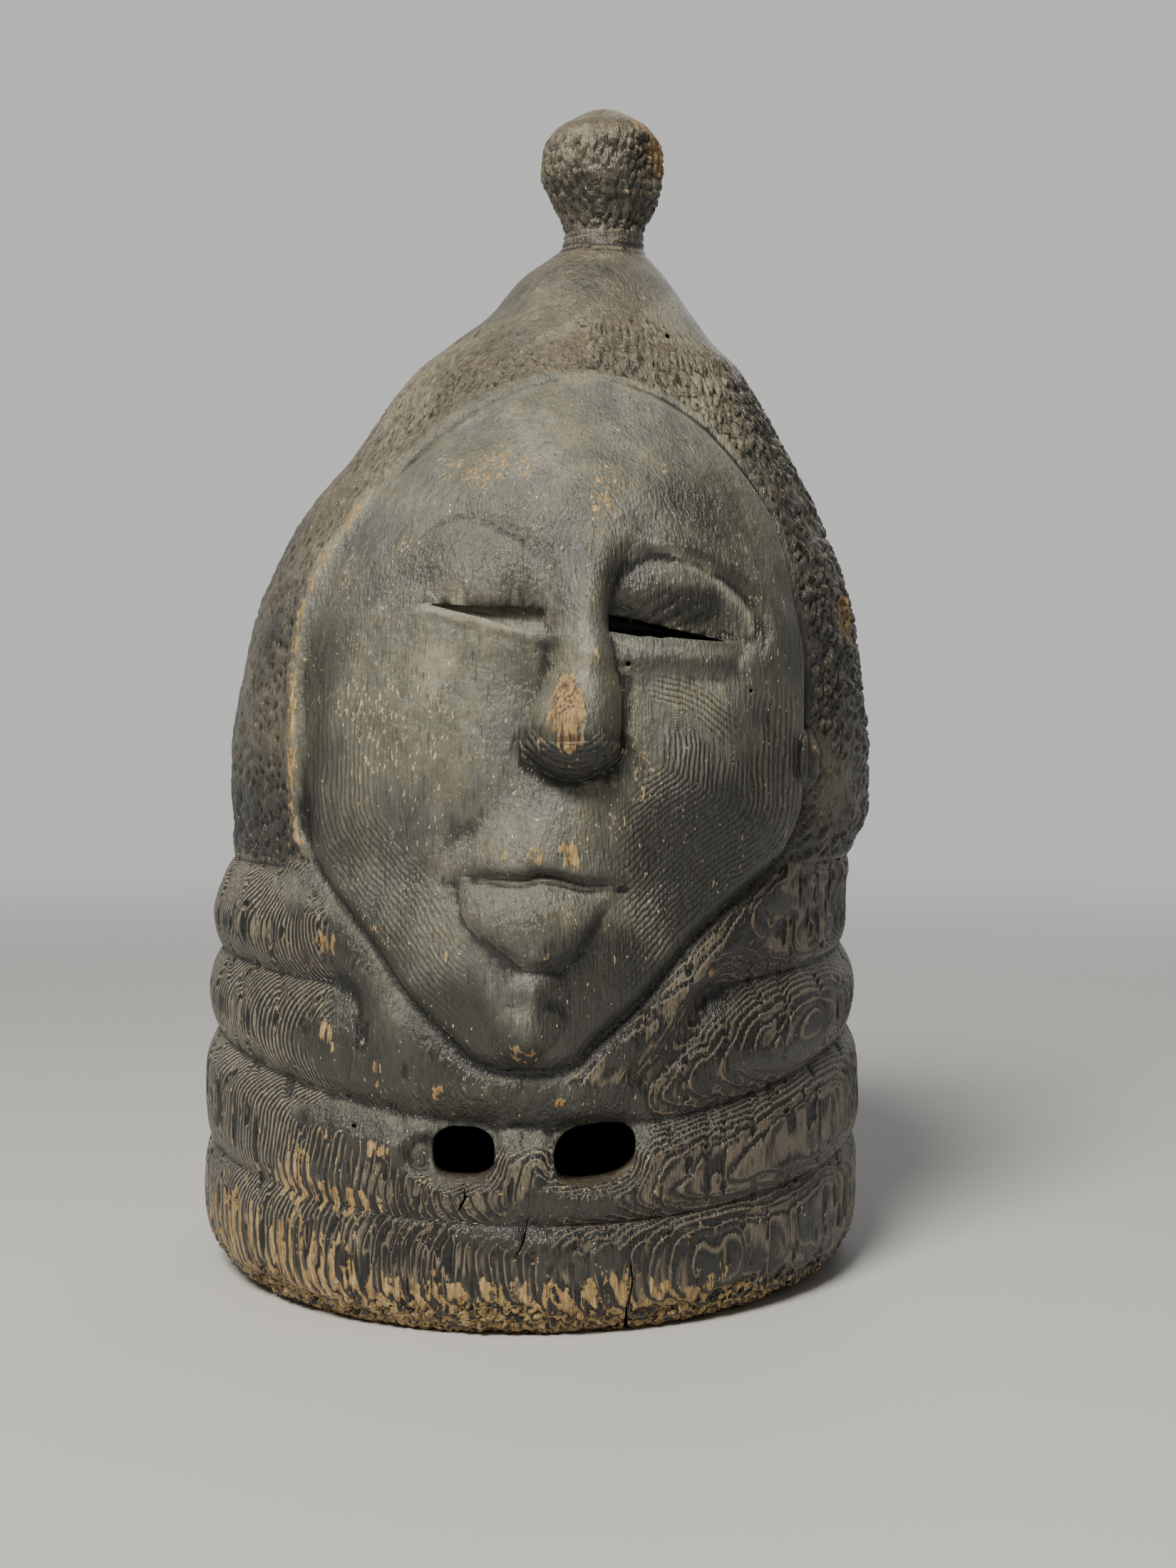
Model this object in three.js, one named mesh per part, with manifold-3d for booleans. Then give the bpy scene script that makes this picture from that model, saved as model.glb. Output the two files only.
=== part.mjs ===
// A carved wooden helmet mask with two faces, one at the front and one at the back.
// It is one block of dark wood, hollowed from below, and it stands on its flat rim.
// From the rim up: four soft neck rings, a face in low relief with a collar roll along
// its jaw, a tooled band of hair between the faces, a plain cone and a knob.
// Two sight holes go through the front of the neck.
// Millimetres, +Z up, the front face looks along -Y.
import * as THREE from "three";
import { mergeVertices } from "three/addons/utils/BufferGeometryUtils.js";
import Module from "manifold-3d";

const wasm = await Module();
wasm.setup();

// Driving dimensions
const CONE_TOP = 348.5; // the cone ends here, against the neck of the knob
const CONE_TIP = [25.4, 0, 350.4];
const KNOB_CENTRE_X = 25.5;
const KNOB_TOP_Z = 398.5;
const SIGHT_HOLE_Z = 55.2;
const HAIR_END_Z = 139; // the band of hair stops here, over the top neck ring

// The block seen from the front: height, half width, centre, half depth. The cone leans,
// and the lower edge is rounded under.
const BLOCK = [
  [0, 102.5, 0.5, 118.5],
  [3, 107.6, 0.5, 122.2],
  [8, 111.8, 0.4, 124.6],
  [14, 113.9, 0.2, 125.4],
  [22, 115.2, 0, 125.6],
  [54, 115.4, 0.9, 124.2],
  [92, 113.9, 0.8, 119.7],
  [121, 111.7, 0, 115.2],
  [140, 109.6, 4.1, 111],
  [157, 112.2, 6.9, 110.5],
  [176, 112.2, 6.9, 111],
  [196, 109.7, 7.7, 110.5],
  [218, 106, 8.7, 109],
  [236, 100.4, 9.7, 105],
  [254, 91.8, 10.7, 97.5],
  [262.7, 86.8, 12.2, 93],
  [276, 77.5, 14.5, 84],
  [295.5, 65.4, 15.7, 70],
  [306.4, 57.6, 16.8, 60.5],
  [315.6, 47, 18, 50],
  [325.6, 36.9, 21, 39],
  [338.2, 27, 22, 28],
  [CONE_TOP, 17.4, 24.8, 17.4],
];

// The hollow inside: height, half width, centre, half depth.
const HOLLOW = [
  [0, 96.5, 0.5, 107.5],
  [20, 99, 0.5, 109],
  [60, 98, 0.8, 107],
  [120, 95, 2, 99],
  [180, 94, 6, 93],
  [220, 88, 8, 89],
  [250, 74, 10, 78],
  [275, 56, 13, 59],
  [290, 38, 15, 40],
];
const HOLLOW_TOP = [15.5, 0, 299];

// The knob's profile: height, radius.
const KNOB = [
  [342, 15.4],
  [350.4, 15.3],
  [355.2, 15],
  [362.5, 17.7],
  [368.9, 20.4],
  [374.5, 22.4],
  [383.4, 22.2],
  [390.2, 18.6],
  [395.4, 11.8],
  [KNOB_TOP_Z, 4.5],
];

// The creases between the neck rings: height at the sides, depth, half width.
const CREASES = [
  { z: 43.5, depth: 3.2, wide: 12, softInFront: true },
  { z: 81, depth: 5.4, wide: 14 },
  { z: 108.5, depth: 5.2, wide: 13, stopsAtCollar: true },
  { z: HAIR_END_Z, depth: 2.4, wide: 6, stopsAtCollar: true },
];

// How far the rings and creases droop at the middle of each face.
const DROOP = [
  [0, 0],
  [43.5, 9],
  [81, 17.5],
  [108.5, 6],
  [HAIR_END_Z, -2],
  [164, 0],
];

// The outline of a face: height, half width. Its lower half is a rounded V.
const FACE_HALF_WIDTH = [
  [81.5, 7],
  [84, 15],
  [90, 21],
  [102, 34.2],
  [120, 49],
  [133, 62.5],
  [145, 75],
  [160, 80],
  [200, 80.5],
  [228, 76],
  [254, 64.5],
  [278, 44.5],
  [290, 26],
  [296, 8],
];

// How a face stands out: height, step at the jaw, swell towards its middle, width of the swell.
const FACE_SWELL = [
  [81, 3.5, 2, 8],
  [90, 5, 5, 20],
  [105, 5.5, 8.5, 34],
  [125, 5, 10, 48],
  [145, 3.6, 10.5, 58],
  [175, 2.4, 10, 62],
  [205, 2, 8, 55],
  [235, 2, 8, 50],
  [262, 2, 10, 48],
  [285, 1.5, 6.5, 42],
  [297, 1, 5, 30],
];
const HAIRLINE_STEP = 1.1; // the step between the hair and the face, above the jaw

// Nose: height, half width, how far it stands out.
const NOSE = [
  [166.5, 10.5, 3],
  [171, 12, 8.2],
  [176, 13.4, 13.8],
  [181, 14.2, 16.8],
  [187, 14.2, 16.8],
  [197, 12.2, 13],
  [207, 10.6, 10.5],
  [217, 9.7, 9],
  [232, 10.5, 7.2],
  [246, 15, 3.6],
  [264, 26, 0],
];

// Lips, from the middle of the mouth: place across, height.
const UPPER_LIP = [
  [-40, 141],
  [-25, 151],
  [-15, 158.5],
  [-4, 163.4],
  [8, 164.8],
  [18, 160.5],
  [27, 152],
  [38, 138],
];
const LIP_LINE = [
  [-26, 138.8],
  [-8.5, 138],
  [-2.5, 139.3],
  [1.5, 138.8],
  [11.5, 136.4],
  [24, 136],
];
const LOWER_LIP = [
  [-27.5, 138.5],
  [-25.8, 128],
  [-17, 120.3],
  [-5, 113.2],
  [2, 114.2],
  [9.5, 120],
  [15, 129],
  [22, 136],
];

// The front face is carved with a lean; the back face is plain and upright.
// Eyes: the slit's inner end (x, low z, high z) and outer tip (x, z), the oval socket
// (x, z, half sizes, tilt) and its depth, the lid and the hollow over the slit (x, z,
// half sizes, height or depth), the bag under it, how far the slit sags, how far the lid is
// set back over it, and how far from the mask's axis its bottom is. The last number of a
// face, lip, is how tall its lower lip is, compared with the one that was measured.
const FRONT = {
  side: -1,
  relief: 1,
  lean: 2.3,
  outlineCentre: [
    [81, 2],
    [90, 0.8],
    [102, 1.2],
    [120, 2.6],
    [133, 4.4],
    [145, 8.2],
    [160, 9],
    [228, 10],
    [254, 14.5],
    [297, 16],
  ],
  noseCentre: [
    [81, 1],
    [103, 4.5],
    [137, 8.6],
    [170, 15.4],
    [186, 15.8],
    [198, 17.6],
    [216, 16.7],
    [250, 21.5],
    [297, 20],
  ],
  mouthX: 8.6,
  lip: 1,
  eyes: [
    {
      inner: [7, 213.5, 220.6],
      outer: [-28.9, 222.4],
      socket: [-12, 224.5, 24, 23, -10],
      step: 0.5,
      lid: [-10, 230, 22, 14, 1.8],
      hollow: [-12, 226, 16, 5, 0.7],
      bag: 0.6,
      sag: 0.9,
      tuck: 1.3,
      floor: 109,
    },
    {
      inner: [26.3, 213.7, 219.3],
      outer: [63.2, 211.2],
      socket: [50, 218, 26, 19, -28],
      step: 3.9,
      lid: [42, 227.5, 19, 11.5, 3.4],
      hollow: [49, 221.5, 13, 6, 1.2],
      bag: 2.4,
      sag: 2,
      tuck: 4.4,
      floor: 95,
    },
  ],
  ears: [[90.5, 174, 4.6, 10.5, 4]],
};
const BACK = {
  side: 1,
  relief: 0.88,
  lean: 0,
  outlineCentre: [
    [81, 4],
    [297, 15],
  ],
  noseCentre: [
    [81, 5],
    [297, 15],
  ],
  mouthX: 8,
  lip: 0.72,
  eyes: [
    {
      inner: [4, 213, 218.5],
      outer: [-32, 215],
      socket: [-18, 222, 23, 20, 8],
      step: 3.6,
      lid: [-17, 229, 18, 10, 3],
      hollow: [-16, 221, 14, 5, 0.8],
      bag: 1.4,
      sag: 2,
      tuck: 2.4,
      floor: 96,
    },
    {
      inner: [22, 213, 218.5],
      outer: [58, 215],
      socket: [44, 222, 23, 20, -8],
      step: 3.6,
      lid: [43, 229, 18, 10, 3],
      hollow: [42, 221, 14, 5, 0.8],
      bag: 1.4,
      sag: 2,
      tuck: 2.4,
      floor: 96,
    },
  ],
  ears: [
    [-72, 182, 4.5, 13, 3],
    [89, 182, 4.5, 13, 3],
  ],
};

// Sight holes, in the front of the neck: centre, half sizes and how much the outline rises
// to the right.
const SIGHT_HOLES = [
  { x: -17.9, halfWidth: 9.8, halfHeight: 8.2, lean: 0 },
  { x: 22.2, halfWidth: 12.6, halfHeight: 8.9, lean: 0.1 },
];

// Splits in the rim: place along X, which face they are on, width and height.
const RIM_SPLITS = [
  { x: -102.5, y: -48, width: 4.5, height: 9 },
  { x: 31.5, y: -120, width: 2.6, height: 15 },
];

// How far in the line of the lips is cut, from the mask's axis.
const LIP_FLOOR = 122.5;
const FAR_OUT = 160;

// Small mathematics
const clamp01 = (t) => Math.min(1, Math.max(0, t));
const smooth = (t) => {
  const s = clamp01(t);
  return s * s * (3 - 2 * s);
};
const bell = (t) => Math.exp(-t * t);
const dome = (t) => Math.max(0, 1 - t * t);
const mix = (a, b, t) => a + (b - a) * t;
const radians = THREE.MathUtils.degToRad;

// A smooth curve through rows of [position, value, ...]; the column picks the value.
function along(rows, column, at) {
  const last = rows.length - 1;
  if (at <= rows[0][0]) return rows[0][column];
  if (at >= rows[last][0]) return rows[last][column];
  const i = rows.findIndex((row) => row[0] > at) - 1;
  const slope = (a, b) => (rows[b][column] - rows[a][column]) / (rows[b][0] - rows[a][0]);
  const tangent = (k) => {
    if (k === 0) return slope(0, 1);
    if (k === last) return slope(last - 1, last);
    const before = slope(k - 1, k);
    const after = slope(k, k + 1);
    return before * after <= 0 ? 0 : (2 * before * after) / (before + after);
  };
  const span = rows[i + 1][0] - rows[i][0];
  const t = (at - rows[i][0]) / span;
  const a = rows[i][column];
  const b = rows[i + 1][column];
  const rise = t * t * (3 - 2 * t) * (b - a);
  return a + rise + span * t * (1 - t) * ((1 - t) * tangent(i) - t * tangent(i + 1));
}

// 0 at the centre of a soft oval, 1 on its edge.
function oval(x, z, [centreX, centreZ, halfX, halfZ], tilt, power) {
  const c = Math.cos(radians(tilt));
  const s = Math.sin(radians(tilt));
  const u = ((x - centreX) * c + (z - centreZ) * s) / halfX;
  const v = ((z - centreZ) * c - (x - centreX) * s) / halfZ;
  return (Math.abs(u) ** power + Math.abs(v) ** power) ** (1 / power);
}

// A closed outline of a face as points, and how far inside it a point lies.
function faceOutline(face) {
  const points = [];
  const steps = 44;
  const low = FACE_HALF_WIDTH[0][0];
  const high = FACE_HALF_WIDTH[FACE_HALF_WIDTH.length - 1][0];
  for (const way of [1, -1])
    for (let i = 0; i <= steps; i++) {
      const turn = (1 - Math.cos((Math.PI * i) / steps)) / 2;
      const z = way > 0 ? low + (high - low) * turn : high - (high - low) * turn;
      const centre = along(face.outlineCentre, 1, z);
      points.push([centre + way * along(FACE_HALF_WIDTH, 1, z), z]);
    }
  return points;
}

function depthInside(points, x, z) {
  let nearest = Infinity;
  let inside = false;
  for (let i = 0, j = points.length - 1; i < points.length; j = i++) {
    const [ax, az] = points[j];
    const [bx, bz] = points[i];
    const dx = bx - ax;
    const dz = bz - az;
    const t = clamp01(((x - ax) * dx + (z - az) * dz) / (dx * dx + dz * dz || 1));
    nearest = Math.min(nearest, Math.hypot(x - ax - t * dx, z - az - t * dz));
    if (az > z !== bz > z && x < ax + ((z - az) / dz) * dx) inside = !inside;
  }
  return inside ? nearest : -nearest;
}

FRONT.outline = faceOutline(FRONT);
BACK.outline = faceOutline(BACK);

// Relief of the neck: rings left by creases cut into the block, and the collar roll
// that follows the jaw and runs under the chin.
function neckRelief(face, depth, level, facing, x, z) {
  let relief = 0;
  for (const crease of CREASES) {
    let kept = crease.stopsAtCollar ? smooth((-depth - 10) / 7) : 1;
    if (crease.softInFront && face === FRONT) kept = 1 - 0.6 * bell((x + 45) / 38);
    const t = clamp01(Math.abs(level - crease.z) / crease.wide);
    relief -= crease.depth * (0.8 + 0.25 * facing) * kept * (1 - t) ** 2;
  }
  const belowHair = 1 - smooth((z - 124) / 18);
  relief += 2.9 * belowHair * bell((depth + 8) / 8);
  if (face === BACK) return relief;
  const onRight = smooth((x - 25) / 15) * smooth((106 - z) / 8);
  return relief - 2.2 * belowHair * bell((depth + 20) / 6) * onRight;
}

// The front's nose has its ridge right of the middle and a softer left wall.
function noseRelief(face, x, z) {
  const u = (x - along(face.noseCentre, 1, z)) / along(NOSE, 1, z);
  const upHigh = face === FRONT ? smooth((z - 192) / 14) : 0;
  let soft = 0.62 + 0.9 * smooth((z - 218) / 26);
  if (face === FRONT && u < 0) soft += 0.35 + 0.4 * upHigh;
  const lopsided = 0.3 * upHigh * smooth((262 - z) / 14);
  const away = u - lopsided;
  const fromRidge = Math.abs(away / (1 - lopsided * Math.sign(away)));
  const ridge = clamp01(1 - fromRidge ** (2.3 - 2.2 * lopsided)) ** soft;
  const base = 170.2 + 6.5 * Math.min(1.2, Math.abs(u)) ** 2;
  return along(NOSE, 2, z) * ridge * smooth((z - base + 1.3) / 2.8);
}

// The lower and upper edge of an eye's slit, and how far along it x is, from 0 at the
// outer tip to 1 by the nose, and beyond.
function slitEdges(eye, x) {
  const [innerX, low, high] = eye.inner;
  const [outerX, outerZ] = eye.outer;
  const s = (x - outerX) / (innerX - outerX);
  const on = clamp01(s);
  const sag = eye.sag * on * (1 - on);
  return { s, low: outerZ + (low - outerZ) * on - sag, high: outerZ + (high - outerZ) * on + 0.3 * sag };
}

function eyeRelief(eye, x, z) {
  const [socketX, socketZ, , halfZ, tilt] = eye.socket;
  const q = oval(x, z, eye.socket, tilt, 2.4);
  const across = (z - socketZ) * Math.cos(radians(tilt)) - (x - socketX) * Math.sin(radians(tilt));
  const upper = 0.2 + 0.8 * smooth((across / halfZ + 0.35) / 0.7);
  const socket = -eye.step * upper * (1 - smooth((q - 0.8) / 0.27));
  const brow = 0.13 * eye.step * upper * bell((q - 1.14) / 0.12);
  const lid = eye.lid[4] * dome(Math.min(1, oval(x, z, eye.lid, tilt / 2, 2))) ** 1.2;
  const hollow = -eye.hollow[4] * bell(oval(x, z, eye.hollow, tilt / 3, 2) ** 1.3);
  const { s, low, high } = slitEdges(eye, x);
  const middle = (low + high) / 2;
  const near = smooth((s + 0.12) * 5) * smooth((1.3 - s) * 4);
  const besideNose = smooth((s + 0.12) * 5) * smooth((1.04 - s) * 12);
  const overSlit = smooth((z - middle) / 1.2 + 0.5) * clamp01(1 - (z - high) / 14) ** 2;
  const tuck = -eye.tuck * besideNose * overSlit;
  const lowerLid = 1.2 * near * bell((z - low + 1.5) / 2.2) * smooth((middle - z) / 1.2 + 0.5);
  const bag = eye.bag * near * bell((z - low + 6.5) / 4);
  return socket + brow + lid + hollow + tuck + lowerLid + bag;
}

function mouthRelief(face, x, z) {
  const u = x - face.mouthX;
  const line = along(LIP_LINE, 1, u);
  const top = along(UPPER_LIP, 1, u);
  const bottom = mix(line, along(LOWER_LIP, 1, u), face.lip);
  const height = (z - line) / Math.max(top - line, 1);
  const muzzle = smooth((1.5 - height) / 1.35) * smooth((z - line + 2) / 7.5);
  const upper = 8 * dome((u + 1.5) / 37) ** 2 * muzzle * smooth((z - line + 1.6) / 1.6);
  const forward = 4.7 * dome((u + 0.8) / 27.5) ** 0.6 + 1.9 * bell((u + 1) / 9);
  const fallsBack = 1 - 0.3 * smooth((z - line + 10) / 10);
  const ends = smooth((line - bottom) / 3) * smooth((line + 1.6 - z) / 1.4);
  return upper + forward * smooth((z - bottom + 2) / 6.5) * fallsBack * ends;
}

function chinRelief(face, x, z) {
  const u = x - along(face.noseCentre, 1, z) + 1;
  const narrow = 11.5 - 4 * smooth((97 - z) / 10);
  const boss = 3.4 * dome(Math.min(1, Math.hypot(u / narrow, (z - 93.5) / 10.5)));
  const button = 1.5 * dome(Math.min(1, Math.hypot((u - 1) / 10, (z - 107) / 6.5))) ** 1.2;
  const ridge = bell(Math.min(u, 0) / 10) * bell(Math.max(u, 0) / 4.5);
  return boss + button + 3 * ridge * smooth((z - 82) / 8) * smooth((118 - z) / 12);
}

function earRelief(face, x, z) {
  let relief = 0;
  for (const ear of face.ears) relief += ear[4] * dome(Math.min(1, oval(x, z, ear, 0, 2.4))) ** 0.6;
  return relief;
}

// The face round the sight holes is dished, and torn out beside the left one.
function sightHoleRelief(x, z) {
  let relief = 0;
  for (const hole of SIGHT_HOLES) {
    const q = oval(x, z, [hole.x, SIGHT_HOLE_Z, hole.halfWidth, hole.halfHeight], 0, 2.8);
    relief -= 2.4 * (1 - smooth((q - 0.95) / 0.55));
  }
  return relief - 3.4 * (1 - smooth((oval(x, z, [-31, 54.5, 6, 7], 0, 2) - 0.5) / 0.6));
}

// All relief at one place of the block. The level is the height before the droop, and
// facing is 1 at the middle of a face and 0 at the sides.
function relief(face, x, z, level, facing) {
  const depth = depthInside(face.outline, x, z);
  const side = (x - along(face.outlineCentre, 1, z)) / along(FACE_HALF_WIDTH, 1, z);
  const hairline = smooth((z - 126) / 34);
  const lean = face.lean * Math.min(1, Math.max(-1, side));
  const step = mix(along(FACE_SWELL, 1, z), HAIRLINE_STEP + lean, hairline);
  const rest = 1 - clamp01(depth / along(FACE_SWELL, 3, z));
  const swelling = 1 - rest ** (1.3 + 0.7 * smooth((z - 120) / 50));
  const inFace = smooth((depth + 1.5) / 4.5);
  const fadeUp = smooth((CONE_TOP - 45 - z) / 45);
  const groove = -(0.9 + (0.7 + 0.6 * lean) * hairline) * bell((depth + 0.8) / 2.2) * fadeUp;
  const lipFade = smooth((z - HAIR_END_Z - 2) / 6) * fadeUp;
  const hairLip = (1.1 - 0.45 * lean) * bell((depth + 4) / 2.6) * lipFade;
  let features = noseRelief(face, x, z) + mouthRelief(face, x, z) + chinRelief(face, x, z);
  for (const eye of face.eyes) features += eyeRelief(eye, x, z);
  const carved = face.relief * inFace * (step + along(FACE_SWELL, 2, z) * swelling + features);
  const plain = (1 - inFace) * neckRelief(face, depth, level, facing, x, z);
  const dished = face === FRONT ? sightHoleRelief(x, z) : 0;
  return carved + plain + groove + hairLip + earRelief(face, x, z) + dished;
}

// Grid lines, closer together on the two faces than on the sides and the cone
const FACE_HALF_ANGLE = 53;
function columnAngles(onFront, onSide, onBack) {
  const sideArc = 180 - 2 * FACE_HALF_ANGLE;
  const arcs = [
    [-FACE_HALF_ANGLE, 2 * FACE_HALF_ANGLE, onFront],
    [FACE_HALF_ANGLE, sideArc, onSide],
    [180 - FACE_HALF_ANGLE, 2 * FACE_HALF_ANGLE, onBack],
    [180 + FACE_HALF_ANGLE, sideArc, onSide],
  ];
  const angles = [];
  for (const [start, arc, count] of arcs)
    for (let i = 0; i < count; i++) angles.push(radians(start + (arc * i) / count));
  return angles;
}

function rowHeights(bands) {
  const heights = [];
  for (const [from, to, count] of bands)
    for (let i = 0; i < count; i++) heights.push(from + ((to - from) * i) / count);
  heights.push(bands[bands.length - 1][1]);
  return heights;
}

const BLOCK_ROWS = [
  [0, 8, 2],
  [8, 43.5, 5],
  [43.5, 81, 6],
  [81, 108.5, 6],
  [108.5, HAIR_END_Z, 6],
  [HAIR_END_Z, 164, 5],
  [164, 180, 5],
  [180, 250, 12],
  [250, 300, 6],
  [300, CONE_TOP, 5],
];
const HOLLOW_ROWS = [
  [0, 60, 2],
  [60, 220, 6],
  [220, 290, 5],
];

function blockPoint(angle, level) {
  const sin = Math.sin(angle);
  const cos = Math.cos(angle);
  const face = cos > 0 ? FRONT : BACK;
  const z = level - along(DROOP, 1, level) * cos * cos * (1 + 0.25 * sin);
  const x = along(BLOCK, 2, z) + along(BLOCK, 1, z) * sin;
  const y = -along(BLOCK, 3, z) * cos;
  const amount = relief(face, x, z, level, cos * cos);
  const out = new THREE.Vector2(sin ** 3, -cos).normalize();
  return [x + amount * out.x, y + amount * out.y, z];
}

function hollowPoint(angle, z) {
  const x = along(HOLLOW, 2, z) + along(HOLLOW, 1, z) * Math.sin(angle);
  const y = -along(HOLLOW, 3, z) * Math.cos(angle);
  return [x, y, z];
}

// The carved block as one closed surface: outside, rim underneath and hollow.
function carvedBlock() {
  const outerAngles = columnAngles(30, 6, 22);
  const innerAngles = columnAngles(7, 5, 7);
  const outer = rowHeights(BLOCK_ROWS).map((z) => outerAngles.map((a) => blockPoint(a, z)));
  const inner = rowHeights(HOLLOW_ROWS).map((z) => innerAngles.map((a) => hollowPoint(a, z)));
  const positions = [];
  const index = [];
  const put = (point) => positions.push(...point) / 3 - 1;
  const outerIds = outer.map((row) => row.map(put));
  const innerIds = inner.map((row) => row.map(put));
  const distance = (a, b) =>
    Math.hypot(...[0, 1, 2].map((k) => positions[3 * a + k] - positions[3 * b + k]));
  const skin = (rows, flip) => {
    for (let r = 0; r + 1 < rows.length; r++)
      for (let c = 0; c < rows[r].length; c++) {
        const n = (c + 1) % rows[r].length;
        const quad = [rows[r][c], rows[r][n], rows[r + 1][n], rows[r + 1][c]];
        if (flip) quad.reverse();
        // each four-sided patch is split along its shorter diagonal
        if (distance(quad[1], quad[3]) < distance(quad[0], quad[2])) quad.push(quad.shift());
        index.push(quad[0], quad[1], quad[2], quad[0], quad[2], quad[3]);
      }
  };
  const cap = (row, apex, flip) => {
    const top = put(apex);
    row.forEach((id, c) => {
      const next = row[(c + 1) % row.length];
      index.push(...(flip ? [next, id, top] : [id, next, top]));
    });
  };
  skin(outerIds, false);
  cap(outerIds[outerIds.length - 1], CONE_TIP, false);
  skin(innerIds, true);
  cap(innerIds[innerIds.length - 1], HOLLOW_TOP, true);
  stitchRim(outerIds[0], outerAngles, innerIds[0], innerAngles, index);
  return geometryOf(positions, index);
}

// The flat rim between the two lowest rows, which have different numbers of points.
function stitchRim(outerRow, outerAngles, innerRow, innerAngles, index) {
  let o = 0;
  let i = 0;
  const turn = 2 * Math.PI;
  const at = (angles, k) => angles[k % angles.length] + turn * Math.floor(k / angles.length);
  while (o < outerRow.length || i < innerRow.length) {
    const a = outerRow[o % outerRow.length];
    const b = innerRow[i % innerRow.length];
    const outerNext = at(outerAngles, o + 1) <= at(innerAngles, i + 1);
    if (i >= innerRow.length || (outerNext && o < outerRow.length)) {
      index.push(a, b, outerRow[(o + 1) % outerRow.length]);
      o++;
    } else {
      index.push(a, b, innerRow[(i + 1) % innerRow.length]);
      i++;
    }
  }
}

function geometryOf(positions, index) {
  const geometry = new THREE.BufferGeometry();
  geometry.setAttribute("position", new THREE.Float32BufferAttribute(positions, 3));
  geometry.setIndex(index);
  return geometry;
}

function knob() {
  const profile = KNOB.map(([z, radius]) => new THREE.Vector2(radius, z));
  profile.unshift(new THREE.Vector2(0, KNOB[0][0]));
  profile.push(new THREE.Vector2(0, KNOB_TOP_Z));
  const geometry = new THREE.LatheGeometry(profile, 20);
  geometry.rotateX(Math.PI / 2);
  geometry.translate(KNOB_CENTRE_X, 0, 0);
  return geometry;
}

// A prism along Y, from a closed outline of [x, z] points, between two places on Y.
function prismAlongY(outline, fromY, toY) {
  const shape = new THREE.Shape(outline.map(([x, z]) => new THREE.Vector2(x, z)));
  const geometry = new THREE.ExtrudeGeometry(shape, { depth: toY - fromY, bevelEnabled: false });
  geometry.rotateX(Math.PI / 2);
  geometry.translate(0, toY, 0);
  return geometry;
}

// Between an ellipse and a rectangle: power 1 gives the ellipse.
function roundedOutline(x, z, halfWidth, halfHeight, power, steps) {
  const points = [];
  for (let i = 0; i < steps; i++) {
    const a = (2 * Math.PI * i) / steps;
    const stretch = (value) => Math.sign(value) * Math.abs(value) ** power;
    points.push([x + halfWidth * stretch(Math.cos(a)), z + halfHeight * stretch(Math.sin(a))]);
  }
  return points;
}

// The slit of an eye: a long wedge with its tip outside and its blunt end by the nose.
function slitOutline(eye) {
  const steps = 5;
  const lower = [];
  const upper = [];
  for (let i = 0; i <= steps; i++) {
    const x = mix(eye.outer[0], eye.inner[0], mix(0.03, 1, i / steps));
    const { low, high } = slitEdges(eye, x);
    lower.push([x, low]);
    upper.unshift([x, high]);
  }
  return [...lower, ...upper];
}

// The line between the lips, a thin strip that is cut in.
function lipOutline(face) {
  const steps = 6;
  const lower = [];
  const upper = [];
  for (let i = 0; i <= steps; i++) {
    const u = mix(-24.5, 22.5, i / steps);
    const line = along(LIP_LINE, 1, u);
    const half = 0.25 + 0.8 * Math.sin((Math.PI * i) / steps);
    lower.push([face.mouthX + u, line - half]);
    upper.unshift([face.mouthX + u, line + half]);
  }
  return [...lower, ...upper];
}

function cutFromFace(face, outline, floorY) {
  return face.side < 0
    ? prismAlongY(outline, -FAR_OUT, -floorY)
    : prismAlongY(outline, floorY, FAR_OUT);
}

function cutters() {
  const made = [];
  for (const hole of SIGHT_HOLES) {
    const rounded = roundedOutline(hole.x, SIGHT_HOLE_Z, hole.halfWidth, hole.halfHeight, 0.72, 20);
    const outline = rounded.map(([x, z]) => [x, z + hole.lean * (x - hole.x)]);
    made.push(prismAlongY(outline, -FAR_OUT, -80));
  }
  for (const face of [FRONT, BACK]) {
    for (const eye of face.eyes) made.push(cutFromFace(face, slitOutline(eye), eye.floor));
    made.push(cutFromFace(face, lipOutline(face), LIP_FLOOR));
  }
  for (const split of RIM_SPLITS) {
    const wedge = [
      [split.x - split.width / 2, -1],
      [split.x + split.width / 2, -1],
      [split.x + split.width / 4, split.height],
    ];
    made.push(prismAlongY(wedge, split.y - 20, split.y + 20));
  }
  return made;
}

function toSolid(geometry) {
  const bare = geometry.clone();
  bare.deleteAttribute("normal");
  bare.deleteAttribute("uv");
  const merged = mergeVertices(bare, 1e-4);
  return new wasm.Manifold(
    new wasm.Mesh({
      numProp: 3,
      vertProperties: merged.attributes.position.array,
      triVerts: new Uint32Array(merged.index.array),
    }),
  );
}

function toGeometry(solid) {
  const { vertProperties, triVerts } = solid.getMesh();
  const geometry = geometryOf(vertProperties, [...triVerts]);
  geometry.computeVertexNormals();
  return geometry;
}

function carvedMask() {
  let solid = toSolid(carvedBlock()).add(toSolid(knob()));
  for (const cutter of cutters()) solid = solid.subtract(toSolid(cutter));
  return toGeometry(solid);
}

const darkWood = new THREE.MeshStandardMaterial({
  name: "dark_wood",
  color: 0x4a463c,
  roughness: 0.62,
  metalness: 0,
});

const mask = new THREE.Mesh(carvedMask(), darkWood);
mask.name = "helmet_mask";
const box = new THREE.Box3().setFromObject(mask);
const middle = box.getCenter(new THREE.Vector3());
mask.position.set(-middle.x, -middle.y, -box.min.z);

const helmetMask = new THREE.Group();
helmetMask.add(mask);

export default helmetMask;
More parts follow.
